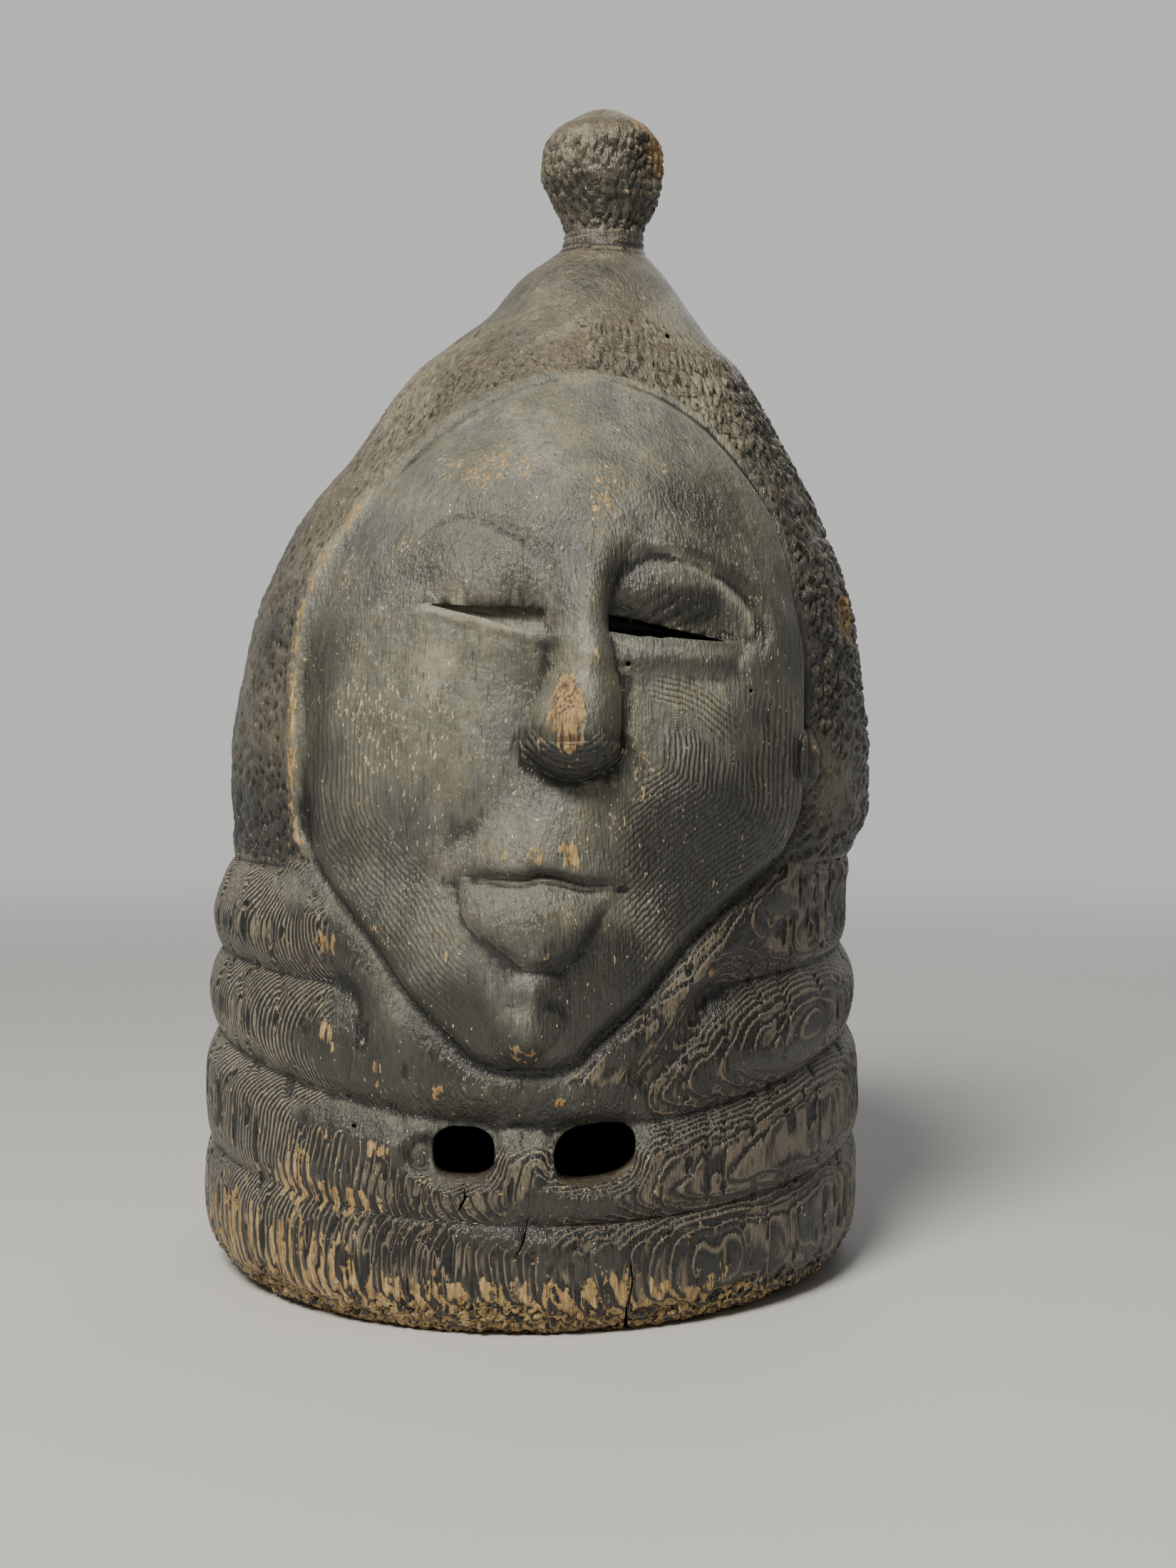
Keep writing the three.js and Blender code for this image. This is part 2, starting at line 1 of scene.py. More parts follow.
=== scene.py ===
# A helmet mask with two faces, carved from one block of wood, blackened, and worn by use.
# The mask is carved here in millimetres round its own axis, by the same rules as the CAD
# solid, and then with the finer marks of the tools and the weather. One fine mesh stands
# for the node. Everything in the scene is in metres, in the row frame.
import math

import bpy
import numpy as np
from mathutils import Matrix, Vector


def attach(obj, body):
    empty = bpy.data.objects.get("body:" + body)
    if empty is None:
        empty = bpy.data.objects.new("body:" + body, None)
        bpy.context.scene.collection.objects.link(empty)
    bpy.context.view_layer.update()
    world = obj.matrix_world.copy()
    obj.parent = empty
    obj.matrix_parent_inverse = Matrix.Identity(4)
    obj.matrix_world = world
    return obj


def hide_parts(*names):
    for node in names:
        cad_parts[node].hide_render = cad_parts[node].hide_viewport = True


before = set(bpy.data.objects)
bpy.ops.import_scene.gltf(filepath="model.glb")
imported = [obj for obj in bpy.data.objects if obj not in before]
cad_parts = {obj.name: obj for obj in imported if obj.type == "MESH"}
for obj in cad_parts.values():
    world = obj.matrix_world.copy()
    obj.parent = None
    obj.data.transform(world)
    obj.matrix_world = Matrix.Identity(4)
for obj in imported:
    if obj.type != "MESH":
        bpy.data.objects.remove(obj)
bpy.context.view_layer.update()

MM = 0.001

# The mask's own axis in the row frame, in millimetres
AXIS_X = -1.95
AXIS_Y = 1.63

# Driving sizes of the block, in millimetres
CONE_TOP = 348.5
KNOB_TOP_Z = 398.5
SIGHT_HOLE_Z = 55.2
HAIR_END_Z = 139
# The hair fades out on the cone, which passes into the neck of the knob and then its round
HAIR_TOP_Z = 322
KNOB_NECK_Z = 341
KNOB_ROUND_Z = 352

# The block seen from the front: height, half width, centre, half depth. The cone leans.
BLOCK = [
    (0, 102.5, 0.5, 118.5), (3, 107.6, 0.5, 122.2), (8, 111.8, 0.4, 124.6), (14, 113.8, 0.2, 125.3),
    (22, 115, 0, 125.5), (54, 115.1, 0.9, 124), (92, 113.6, 0.8, 119.5), (121, 111.4, 0, 115),
    (140, 109.6, 4.1, 111), (157, 112.2, 6.9, 110.5), (176, 112.2, 6.9, 111),
    (196, 109.7, 7.7, 110.5), (218, 106, 8.7, 109), (236, 100.4, 9.7, 105), (254, 91.8, 10.7, 97.5),
    (262.7, 86.8, 12.2, 93), (276, 77.5, 14.5, 84), (295.5, 65.4, 15.7, 70),
    (306.4, 57.6, 16.8, 60.5), (315.6, 47, 18, 50), (325.6, 36.9, 21, 39), (338.2, 27, 22, 28),
    (344.6, 20.5, 23.5, 20.5), (350.4, 15.2, 25.2, 15.2), (355.2, 14.9, 25.8, 15),
    (362.5, 17.6, 26, 17.5), (368.9, 20.3, 25.6, 20), (374.5, 22.2, 25.1, 22),
    (383.4, 21.9, 25.3, 22), (390.2, 18.2, 25.2, 18.2), (395, 11.4, 26, 11.4),
    (397.7, 5.5, 26, 5.5), (KNOB_TOP_Z, 1, 26, 1),
]

# The hollow: height, half width, centre, half depth
HOLLOW = [
    (0, 96.5, 0.5, 107.5), (20, 99, 0.5, 109), (60, 98, 0.8, 107), (120, 95, 2, 99),
    (180, 94, 6, 93), (220, 88, 8, 89), (250, 74, 10, 78), (275, 56, 13, 59), (290, 38, 15, 40),
    (297, 22, 15.3, 23), (299, 6, 15.5, 6),
]

# The creases between the neck rings: height at the sides, depth, half width
CREASES = [(43.5, 3.2, 12), (81, 5.4, 14), (108.5, 5.2, 13), (HAIR_END_Z, 2.4, 6)]
COLLAR_STOPS = 108.5

# How far the rings droop at the middle of each face
DROOP = [(0, 0), (43.5, 9), (81, 17.5), (108.5, 6), (HAIR_END_Z, -2), (164, 0)]

# The outline of a face: height, half width
FACE_HALF_WIDTH = [
    (81.5, 7), (84, 15), (90, 21), (102, 34.2), (120, 49), (133, 62.5), (145, 75), (160, 80),
    (200, 80.5), (228, 76), (254, 64.5), (278, 44.5), (290, 26), (296, 8),
]

# How a face stands out: height, step at the jaw, swell towards its middle, width of swell
FACE_SWELL = [
    (81, 3.5, 2, 8), (90, 5, 5, 20), (105, 5.5, 8.5, 34), (125, 5, 10, 48), (145, 3.6, 10.5, 58),
    (175, 2.4, 10, 62), (205, 2, 8, 55), (235, 2, 8, 50), (262, 2, 10, 48), (285, 1.5, 6.5, 42),
    (297, 1, 5, 30),
]
# Above the jaw a face's edge steps up from the hair by this much, and by its lean to a side
HAIRLINE_STEP = 1.1

# The underside of the nose, at its middle
NOSE_BASE_Z = 170.2
# Nose: height, half width, how far it stands out
NOSE = [
    (166.5, 10.5, 3), (171, 12, 8.2), (176, 13.4, 13.8), (181, 14.2, 16.8), (187, 14.2, 16.8),
    (197, 12.2, 13), (207, 10.6, 10.5), (217, 9.7, 9), (232, 10.5, 7.2), (246, 15, 3.6),
    (264, 26, 0),
]

# Lips, about the middle of the mouth: across, height
UPPER_LIP = [
    (-40, 141), (-25, 151), (-15, 158.5), (-4, 163.4), (8, 164.8), (18, 160.5), (27, 152),
    (38, 138),
]
LIP_LINE = [(-26, 138.8), (-8.5, 138), (-2.5, 139.3), (1.5, 138.8), (11.5, 136.4), (24, 136)]
LOWER_LIP = [
    (-27.5, 138.5), (-25.8, 128), (-17, 120.3), (-5, 113.2), (2, 114.2), (9.5, 120), (15, 129),
    (22, 136),
]

FRONT = {
    "side": -1,
    "relief": 1.0,
    "lean": 2.3,
    "outline_centre": [
        (81, 2), (90, 0.8), (102, 1.2), (120, 2.6), (133, 4.4), (145, 8.2), (160, 9), (228, 10),
        (254, 14.5), (297, 16),
    ],
    "nose_centre": [
        (81, 1), (103, 4.5), (137, 8.6), (170, 15.4), (186, 15.8), (198, 17.6), (216, 16.7),
        (250, 21.5), (297, 20),
    ],
    "mouth_x": 8.6,
    "lip": 1,
    "eyes": [
        {
            "inner": (7, 213.5, 220.6),
            "outer": (-28.9, 222.4),
            "socket": (-12, 224.5, 24, 23, -10),
            "step": 0.5,
            "lid": (-10, 230, 22, 14, 1.8),
            "sag": 0.9,
            "tuck": 1.3,
            "hollow": (-12, 226, 16, 5, 0.7),
            "bag": 0.6,
            "floor": (113.5, 107),
            "arch": [
                (-36, 240.5), (-28.5, 245.6), (-20.6, 247.9), (-12, 247.4), (-4, 243.6), (4, 236),
                (7.5, 227),
            ],
        },
        {
            "inner": (26.3, 213.7, 219.3),
            "outer": (63.2, 211.2),
            "socket": (50, 218, 26, 19, -28),
            "step": 3.9,
            "lid": (42, 227.5, 19, 11.5, 3.4),
            "sag": 2,
            "tuck": 4.4,
            "hollow": (49, 221.5, 13, 6, 1.2),
            "bag": 2.4,
            "floor": (102, 88),
            "arch": [],
        },
    ],
    "ears": [(90.5, 174, 4.6, 10.5, 4)],
}

# The middle between the eyes of the back face
BACK_MIDDLE = 13


def back_eye(way):
    """An eye of the back face, on the left (-1) or the right (1) of its middle."""
    return {
        "inner": (BACK_MIDDLE + 9 * way, 213, 218.5),
        "outer": (BACK_MIDDLE + 45 * way, 215),
        "socket": (BACK_MIDDLE + 31 * way, 222, 23, 20, -8 * way),
        "step": 3.6,
        "lid": (BACK_MIDDLE + 30 * way, 229, 18, 10, 3),
        "sag": 2,
        "tuck": 2.4,
        "hollow": (BACK_MIDDLE + 29 * way, 221, 14, 5, 0.8),
        "bag": 1.4,
        "floor": (102, 90),
        "arch": [],
    }


BACK = {
    "side": 1,
    "relief": 0.88,
    "lean": 0.0,
    "outline_centre": [(81, 4), (297, 15)],
    "nose_centre": [(81, 5), (297, 15)],
    "mouth_x": 8,
    "lip": 0.72,
    "eyes": [back_eye(-1), back_eye(1)],
    "ears": [(-72, 182, 4.5, 13, 3), (89, 182, 4.5, 13, 3)],
}

# Sight holes in the front of the neck: centre, half sizes and rise to the right
SIGHT_HOLES = [(-17.9, 9.8, 8.2, 0), (22.2, 12.6, 8.9, 0.1)]

# Splits that run up from the rim: place across, depth place, width and height
RIM_SPLITS = [(-102.5, -48, 4.5, 9), (31.5, -120, 1.7, 12)]
# Cracks of the front: points of (x, z), half width, and the depth place of the bottom
CRACKS = [
    ([(-17.3, 45.7), (-16.9, 43), (-18.1, 40.8), (-19.2, 38.6)], 0.45, 116),
    ([(33.6, 3), (32.4, 10), (33.8, 17), (33, 22)], 0.5, 117),
    ([(2, 36.5), (0.6, 30), (-1.5, 25.5)], 0.3, 118),
]
# Holes of woodworm in the front: place, radius, and the depth place of the bottom
WORM_HOLES = [
    (32.2, 204.1, 0.8, 108), (70.5, 196, 0.6, 95), (46.5, 314, 0.9, 30), (-52, 62, 0.7, 100),
]

# The middle of the tree's growth rings, in plan, and how far apart the rings are
PITH = (-34, 22)
RING_STEP = 0.92
# Depth of the gouge marks in the hair, and of the chisel marks round the knob
HAIR_DENT = 1.25
KNOB_DENT = 1.35
# Millimetres round the hair for each radian, where it is gouged and where it is cut
GOUGED_RADIUS = 108
CUT_RADIUS = 105
# How far apart the wrinkles of the lid and the grooves of the faces are
WRINKLE_STEP = 3.3
FOLD_STEP = 1.65
# The corners of the sight holes are rounder than a rectangle's and sharper than an ellipse's
HOLE_ROUNDNESS = 0.72
# Cutters start this far out, and the sight holes are cut in to this far from the axis
FAR_OUT = 160
SIGHT_HOLE_FLOOR = 80
# The cutters of the splits reach this far to the front and back of their place
SPLIT_REACH = 20
# The pale edge of each lower lid lies this far below the slit
LID_EDGE_DROP = (1.3, 3)
# How many edges far the small and the large hollows of the surface are looked for
FINE_REACH = 3
BROAD_REACH = 22
# The knob is worn flat on its right: direction of the flat, and its distance from the middle
KNOB_FLAT_DIRECTION = (0.8, -0.6)
KNOB_FLAT_DISTANCE = 19.4

# The raised rim round the outer end of the front's right eye
SOCKET_RIM = [(40.8, 240.7), (56.6, 232.8), (69.9, 220), (71.6, 211.4), (67.5, 204.2)]

# Fine curved folds in the front face: centre, radius, half width of the band, middle
# direction and half spread in degrees, how strong
FOLDS = [
    (38.5, 163, 33, 6, 62, 45, 0.4), (16, 190, 15, 7, -90, 80, 1), (38, 236, 24, 7, 180, 60, 0.25),
]

# Patches of the front: across, height, half width, half height, how strong.
# Worn to bare wood
WORN_PATCHES = [
    (14.2, 190.5, 4.8, 12.5, 0.8), (24.5, 252, 4, 9, 0.3), (18.4, 236, 3, 6, 0.3),
    (-10, 267, 15, 7, 0.2), (13.6, 147.5, 4, 4, 0.5), (3.9, 146.4, 3, 3, 0.3),
    (9.3, 119, 4, 4, 0.2), (-1.5, 119.4, 4, 3, 0.15), (6, 102.6, 2.4, 5, 0.35),
    (0, 88.6, 8, 3, 0.2), (107, 221, 3.2, 8, 1.0), (-60.5, 117, 4, 5, 0.42),
    (-46.5, 56, 5, 3, 0.45), (-61.5, 59, 3, 3, 0.4), (-62.6, 90, 3, 3.5, 0.45),
    (-45, 81, 1.6, 7, 0.5), (-25, 73.5, 5, 3.5, 0.35), (-57, 39, 17, 5, 0.34),
    (-73, 47, 7, 11, 0.25), (58.6, 108.6, 1.5, 1.5, 0.8), (11.5, 71.5, 1.6, 1.6, 0.8),
    (-78, 17, 34, 15, 0.3), (-99, 28, 8, 14, 0.15), (88, 24, 26, 20, -0.12), (0, 8, 90, 12, 0.3),
    (45, 383, 3.5, 8, 0.9), (40, 392, 6, 4, 0.4),
]
# Sprinkled with small bright flecks
FLECKED_PATCHES = [
    (-10, 267, 22, 12, 0.9), (24, 254, 6, 12, 0.9), (-40, 230, 16, 16, 0.5),
    (-40, 186, 22, 20, 0.8), (-1.5, 167, 9, 9, 0.6), (35, 160, 14, 22, 0.6), (-34, 156, 8, 12, 0.7),
    (-62, 245, 14, 20, 0.6), (70, 226, 12, 20, 0.4), (-40, 92, 20, 8, 0.2),
]
# Pale and dusty, or darker where the number is negative; the darker patches under the nose, in the right
# eye's socket, right of the chin and on the right cheek, neck and rim are painted shade
DUST_AND_SHADING_PATCHES = [
    (-58, 255, 12, 24, 0.15), (-40, 236, 20, 14, -0.15), (-52, 180, 26, 40, 0.15),
    (-60, 300, 30, 26, 0.25), (96, 164, 9, 15, 0.25), (48, 326, 4, 7, 0.5), (50, 196, 22, 7, 0.25),
    (52, 248, 16, 12, -0.2), (18, 216, 6, 22, 0.35), (88, 28, 30, 30, -0.5), (50, 304, 16, 22, 0.3),
    (25, 372, 20, 20, 0.35), (75, 70, 40, 40, -0.25), (-42, 140, 15, 26, -0.2),
    (-22, 98, 12, 14, -0.35), (-8, 160, 20, 6, 0.1), (-22, 195, 20, 30, 0.2),
    (10, 38, 62, 13, -0.35), (86, 62, 28, 46, -0.28), (62, 285, 12, 18, 0.4),
    (-44, 288, 18, 16, 0.15), (62, 186, 16, 18, 0.15), (-86, 133, 20, 6, 0.35),
    (-92, 80, 16, 8, 0.5), (49.5, 221.6, 12, 6, -0.45), (56, 143, 24, 24, -0.5),
    (25, 104, 17, 20, -0.95), (16, 175, 16, 5, -0.8), (-18, 60, 8, 12, 0.25), (14, 60, 5, 14, 0.25),
]
# Dark, smooth and a little glossy
GLOSSY_PATCHES = [
    (-86, 154, 18, 14, 0.9), (-34, 106, 16, 22, -0.6), (-50, 132, 13, 13, -0.6),
    (26, 372, 16, 13, 0.9), (14, 32, 60, 8, 0.45), (36, 17, 8, 9, 0.8), (-14, 86, 20, 8, 0.4),
    (90, 173, 6, 9, 0.8), (60, 80, 20, 26, 0.5), (8, 128, 14, 10, 0.35), (40, 228, 14, 8, 0.15),
]

# Grid lines round the block, in degrees from the middle of the front: from, to and steps
COLUMNS = [(-60, 60, 262), (60, 112, 84), (112, 244, 92), (244, 300, 96)]
# Grid lines up the block: from, to and steps
ROWS = [
    (0, 43.5, 42), (43.5, 81, 33), (81, 108.5, 26), (108.5, 131, 21), (131, HAIR_END_Z, 12),
    (HAIR_END_Z, 145, 8), (145, 164, 18), (164, 180, 18), (180, 250, 68), (250, 300, 42),
    (300, CONE_TOP, 36), (CONE_TOP, 397.7, 48), (397.7, KNOB_TOP_Z, 1),
]
HOLLOW_COLUMNS = 108
HOLLOW_ROWS = 44
MOST_TRIANGLES = 194000


def smooth(t):
    s = np.clip(t, 0, 1)
    return s * s * (3 - 2 * s)


def bell(t):
    return np.exp(-t * t)


def dome(t):
    return np.clip(1 - t * t, 0, 1)


def mix(a, b, t):
    return a + (b - a) * t


def along(rows, column, at):
    """A smooth curve through rows of (position, value, ...) that never overshoots them."""
    table = np.array(rows, dtype=float)
    x, y = table[:, 0], table[:, column]
    slope = np.diff(y) / np.diff(x)
    before, after = slope[:-1], slope[1:]
    same = before * after > 0
    tangent = np.concatenate((slope[:1], np.zeros(len(x) - 2), slope[-1:]))
    tangent[1:-1][same] = 2 * before[same] * after[same] / (before[same] + after[same])
    at = np.clip(at, x[0], x[-1])
    i = np.clip(np.searchsorted(x, at, side="right") - 1, 0, len(x) - 2)
    span = x[i + 1] - x[i]
    t = (at - x[i]) / span
    rise = t * t * (3 - 2 * t) * (y[i + 1] - y[i])
    return y[i] + rise + span * t * (1 - t) * ((1 - t) * tangent[i] - t * tangent[i + 1])


def scatter(i, j, k, seed):
    """A number between 0 and 1 for each whole place, always the same for the same seed."""
    h = i.astype(np.uint32) * np.uint32(374761393) + j.astype(np.uint32) * np.uint32(668265263)
    h = h + k.astype(np.uint32) * np.uint32(2246822519) + np.uint32(seed * 3266489917 % 4294967296)
    h = (h ^ (h >> np.uint32(15))) * np.uint32(2246822519)
    h = (h ^ (h >> np.uint32(13))) * np.uint32(3266489917)
    return (h ^ (h >> np.uint32(16))).astype(float) / 4294967295


def cell_places(x, y, z, size):
    """Places counted in cells of a size along X, Y and Z, and the whole numbers below them."""
    place = [v / s + 1000 for v, s in zip((x, y, z), np.broadcast_to(size, 3))]
    return place, [np.floor(p).astype(np.int64) for p in place]


def swell(x, y, z, size, seed):
    """Smooth noise between -1 and 1 whose swells are size millimetres wide along X, Y and Z."""
    place, whole = cell_places(x, y, z, size)
    part = [smooth(p - w) for p, w in zip(place, whole)]
    total = 0
    for corner in range(8):
        step = [corner & 1, corner >> 1 & 1, corner >> 2 & 1]
        weight = 1
        for s, t in zip(step, part):
            weight = weight * (t if s else 1 - t)
        total += weight * scatter(*[w + s for w, s in zip(whole, step)], seed)
    return total * 2 - 1


def cells(x, y, z, size, seed):
    """Distances to the nearest and next cell middles, in cell widths."""
    place, whole = cell_places(x, y, z, size)
    nearest = np.full(place[0].shape, 9.0)
    second = np.full(place[0].shape, 9.0)
    for corner in range(27):
        i, j, k = [w + s - 1 for w, s in zip(whole, (corner % 3, corner // 3 % 3, corner // 9))]
        middles = [v + scatter(i, j, k, seed + axis) for axis, v in enumerate((i, j, k))]
        far = np.sqrt(sum((p - m) ** 2 for p, m in zip(place, middles)))
        second = np.minimum(second, np.maximum(nearest, far))
        nearest = np.minimum(nearest, far)
    return nearest, second


def path_distance(points, x, z):
    """Distance to an open line through points of (x, z), and how far along it that is."""
    nearest = np.full(x.shape, 1e9)
    place = np.zeros(x.shape)
    count = len(points) - 1
    for i, ((ax, az), (bx, bz)) in enumerate(zip(points[:-1], points[1:])):
        dx, dz = bx - ax, bz - az
        t = np.clip(((x - ax) * dx + (z - az) * dz) / (dx * dx + dz * dz + 1e-12), 0, 1)
        far = np.hypot(x - ax - t * dx, z - az - t * dz)
        closer = far < nearest
        nearest = np.where(closer, far, nearest)
        place = np.where(closer, (i + t) / count, place)
    return nearest, place


def face_outline(face):
    """The closed outline of a face as points of (x, z)."""
    low, high = FACE_HALF_WIDTH[0][0], FACE_HALF_WIDTH[-1][0]
    turn = (1 - np.cos(np.linspace(0, math.pi, 45))) / 2
    up = low + (high - low) * turn
    sides = []
    for z, way in ((up, 1), (up[::-1], -1)):
        x = along(face["outline_centre"], 1, z) + way * along(FACE_HALF_WIDTH, 1, z)
        sides.append(np.column_stack((x, z)))
    return np.vstack(sides)


def depth_inside(face, x, z):
    """How far inside the outline of the face each place is; negative outside."""
    outline = face_outline(face)
    nearest = path_distance(np.vstack((outline, outline[:1])), x, z)[0]
    half = along(FACE_HALF_WIDTH, 1, z)
    centre = along(face["outline_centre"], 1, z)
    low, high = FACE_HALF_WIDTH[0][0], FACE_HALF_WIDTH[-1][0]
    inside = (np.abs(x - centre) < half) & (z > low) & (z < high)
    return np.where(inside, nearest, -nearest)


def turned(x, z, centre_x, centre_z, degrees):
    """The place seen from a centre, along and across a direction turned by some degrees."""
    c, s = math.cos(math.radians(degrees)), math.sin(math.radians(degrees))
    dx, dz = x - centre_x, z - centre_z
    return dx * c + dz * s, dz * c - dx * s


def oval(x, z, centre_x, centre_z, half_x, half_z, degrees=0, power=2.4):
    """0 at the centre of a soft oval, 1 on its edge."""
    u, v = turned(x, z, centre_x, centre_z, degrees)
    return (np.abs(u / half_x) ** power + np.abs(v / half_z) ** power) ** (1 / power)


def slit_edges(eye, x):
    """The lower and upper edge of the eye slit at x, and how far along it x is, from 0
    outside to 1 by the nose, and beyond."""
    inner_x, low, high = eye["inner"]
    outer_x, outer_z = eye["outer"]
    s = (x - outer_x) / (inner_x - outer_x)
    on = np.clip(s, 0, 1)
    sag = eye["sag"] * on * (1 - on)
    return outer_z + (low - outer_z) * on - sag, outer_z + (high - outer_z) * on + 0.3 * sag, s


def nose_relief(face, x, z):
    u = (x - along(face["nose_centre"], 1, z)) / along(NOSE, 1, z)
    soft = 0.62 + 0.9 * smooth((z - 218) / 26)
    soft += (0.35 + 0.4 * smooth((z - 192) / 14)) * (u < 0) * (face["side"] < 0)
    lopsided = 0.3 * smooth((z - 192) / 14) * smooth((262 - z) / 14) * (face["side"] < 0)
    from_ridge = (u - lopsided) / (1 - lopsided * np.sign(u - lopsided))
    ridge = np.clip(1 - np.abs(from_ridge) ** (2.3 - 2.2 * lopsided), 0, 1) ** soft
    base = NOSE_BASE_Z + 6.5 * np.clip(u, -1.2, 1.2) ** 2
    return along(NOSE, 2, z) * ridge * smooth((z - base + 1.3) / 2.8)


def eye_relief(eye, x, z):
    socket_x, socket_z, _, half_z, tilt = eye["socket"]
    q = oval(x, z, *eye["socket"])
    v = turned(x, z, socket_x, socket_z, tilt)[1] / half_z
    upper = 0.2 + 0.8 * smooth((v + 0.35) / 0.7)
    relief = -eye["step"] * upper * (1 - smooth((q - 0.8) / 0.27))
    relief += 0.13 * eye["step"] * upper * bell((q - 1.14) / 0.12)
    *lid, lid_height = eye["lid"]
    relief += lid_height * dome(oval(x, z, *lid, tilt / 2, 2)) ** 1.2
    low, high, s = slit_edges(eye, x)
    near = smooth((s + 0.12) * 5) * smooth((1.3 - s) * 4)
    *hollow, hollow_depth = eye["hollow"]
    relief -= hollow_depth * bell(oval(x, z, *hollow, tilt / 3, 2) ** 1.3)
    middle = 0.5 * (low + high)
    beside_nose = smooth((s + 0.12) * 5) * smooth((1.04 - s) * 12)
    over_slit = smooth((z - middle) / 1.2 + 0.5) * np.clip(1 - (z - high) / 14, 0, 1) ** 2
    relief -= eye["tuck"] * beside_nose * over_slit
    relief += 1.2 * near * bell((z - low + 1.5) / 1.9) * smooth((middle - z) / 1.2 + 0.5)
    relief += eye["bag"] * near * bell((z - low + 6.5) / 4)
    if eye["arch"]:
        far, place = path_distance(smooth_path(eye["arch"]), x, z)
        relief -= 1.1 * bell(far / (1.4 + 1.6 * place)) * smooth(place * 4) * smooth((1 - place) * 6)
    return relief


def smooth_path(points, steps=6):
    """A rounder line through points of (x, z), whose x only grows."""
    ends = [p[0] for p in points]
    x = np.linspace(ends[0], ends[-1], steps * (len(points) - 1) + 1)
    return list(zip(x, along(points, 1, x)))


def mouth_relief(face, x, z):
    u = x - face["mouth_x"]
    line = along(LIP_LINE, 1, u)
    top = along(UPPER_LIP, 1, u)
    bottom = mix(line, along(LOWER_LIP, 1, u), face["lip"])
    wide_side = dome((u + 1.5) / 37) ** 2
    round_side = dome((u + 0.8) / 27.5)
    height = np.clip((z - line) / np.maximum(top - line, 1), 0, 1.6)
    muzzle = smooth((1.5 - height) / 1.35) * smooth((z - line + 2) / 7.5)
    upper = 8 * wide_side * muzzle
    under = z - bottom
    lower = 4.7 * round_side**0.6 + 1.9 * bell((u + 1) / 9)
    lower = lower * smooth((under + 2) / 6.5) * (1 - 0.3 * smooth((z - line + 10) / 10))
    lower = lower * smooth((line - bottom) / 3) * smooth((line + 1.6 - z) / 1.4)
    crease = -1.8 * smooth((26 - np.abs(u + 0.8)) / 5) * bell((z - line) / 1.3)
    return upper * smooth((z - line + 1.6) / 1.6) + lower + crease


def chin_relief(face, x, z):
    u = x - along(face["nose_centre"], 1, z) + 1
    narrow = 11.5 - 4 * smooth((97 - z) / 10)
    boss = 3.4 * dome(np.hypot(u / narrow, (z - 93.5) / 10.5))
    boss += 1.5 * dome(np.hypot((u - 1) / 10, (z - 107) / 6.5)) ** 1.2
    boss -= 0.5 * bell((z - 101.5 - 0.02 * u * u) / 1.5) * bell(u / 8)
    ridge = bell(np.minimum(u, 0) / 10) * bell(np.maximum(u, 0) / 4.5)
    return boss + 3 * ridge * smooth((z - 82) / 8) * smooth((118 - z) / 12)


def ear_relief(face, x, z):
    relief = 0
    for *ear, height in face["ears"]:
        relief += height * dome(oval(x, z, *ear)) ** 0.6
    return relief


def neck_relief(depth, level, facing, x, z, front):
    relief = 0
    for at, deep, wide in CREASES:
        kept = smooth((-depth - 10) / 7) if at >= COLLAR_STOPS else 1
        if front and at < 50:
            kept = 1 - 0.6 * bell((x + 45) / 38)
        t = np.clip(np.abs(level - at) / wide, 0, 1)
        relief -= deep * (0.8 + 0.25 * facing) * kept * (1 - t) ** 2
    below_hair = 1 - smooth((z - 124) / 18)
    relief += 2.9 * below_hair * bell((depth + 8) / 8)
    if front:
        dip = smooth((x - 25) / 15) * smooth((106 - z) / 8)
        relief -= 2.2 * below_hair * bell((depth + 20) / 6) * dip
    return relief


def round_outline(x, z, half_x, half_z, steps, power=1):
    """Points round an ellipse, or with a lower power round something more like a rectangle."""
    turn = np.linspace(0, 2 * math.pi, steps, endpoint=False)
    c, s = np.cos(turn), np.sin(turn)
    px = x + half_x * np.sign(c) * np.abs(c) ** power
    return np.column_stack((px, z + half_z * np.sign(s) * np.abs(s) ** power))


def sight_hole_relief(x, z):
    relief = 0
    for hole_x, half_x, half_z, _ in SIGHT_HOLES:
        q = oval(x, z, hole_x, SIGHT_HOLE_Z, half_x, half_z, 0, 2.8)
        relief -= 2.4 * (1 - smooth((q - 0.95) / 0.55))
    torn = oval(x, z, -31, 54.5, 6, 7, 0, 2)
    return relief - 3.4 * (1 - smooth((torn - 0.5) / 0.6))


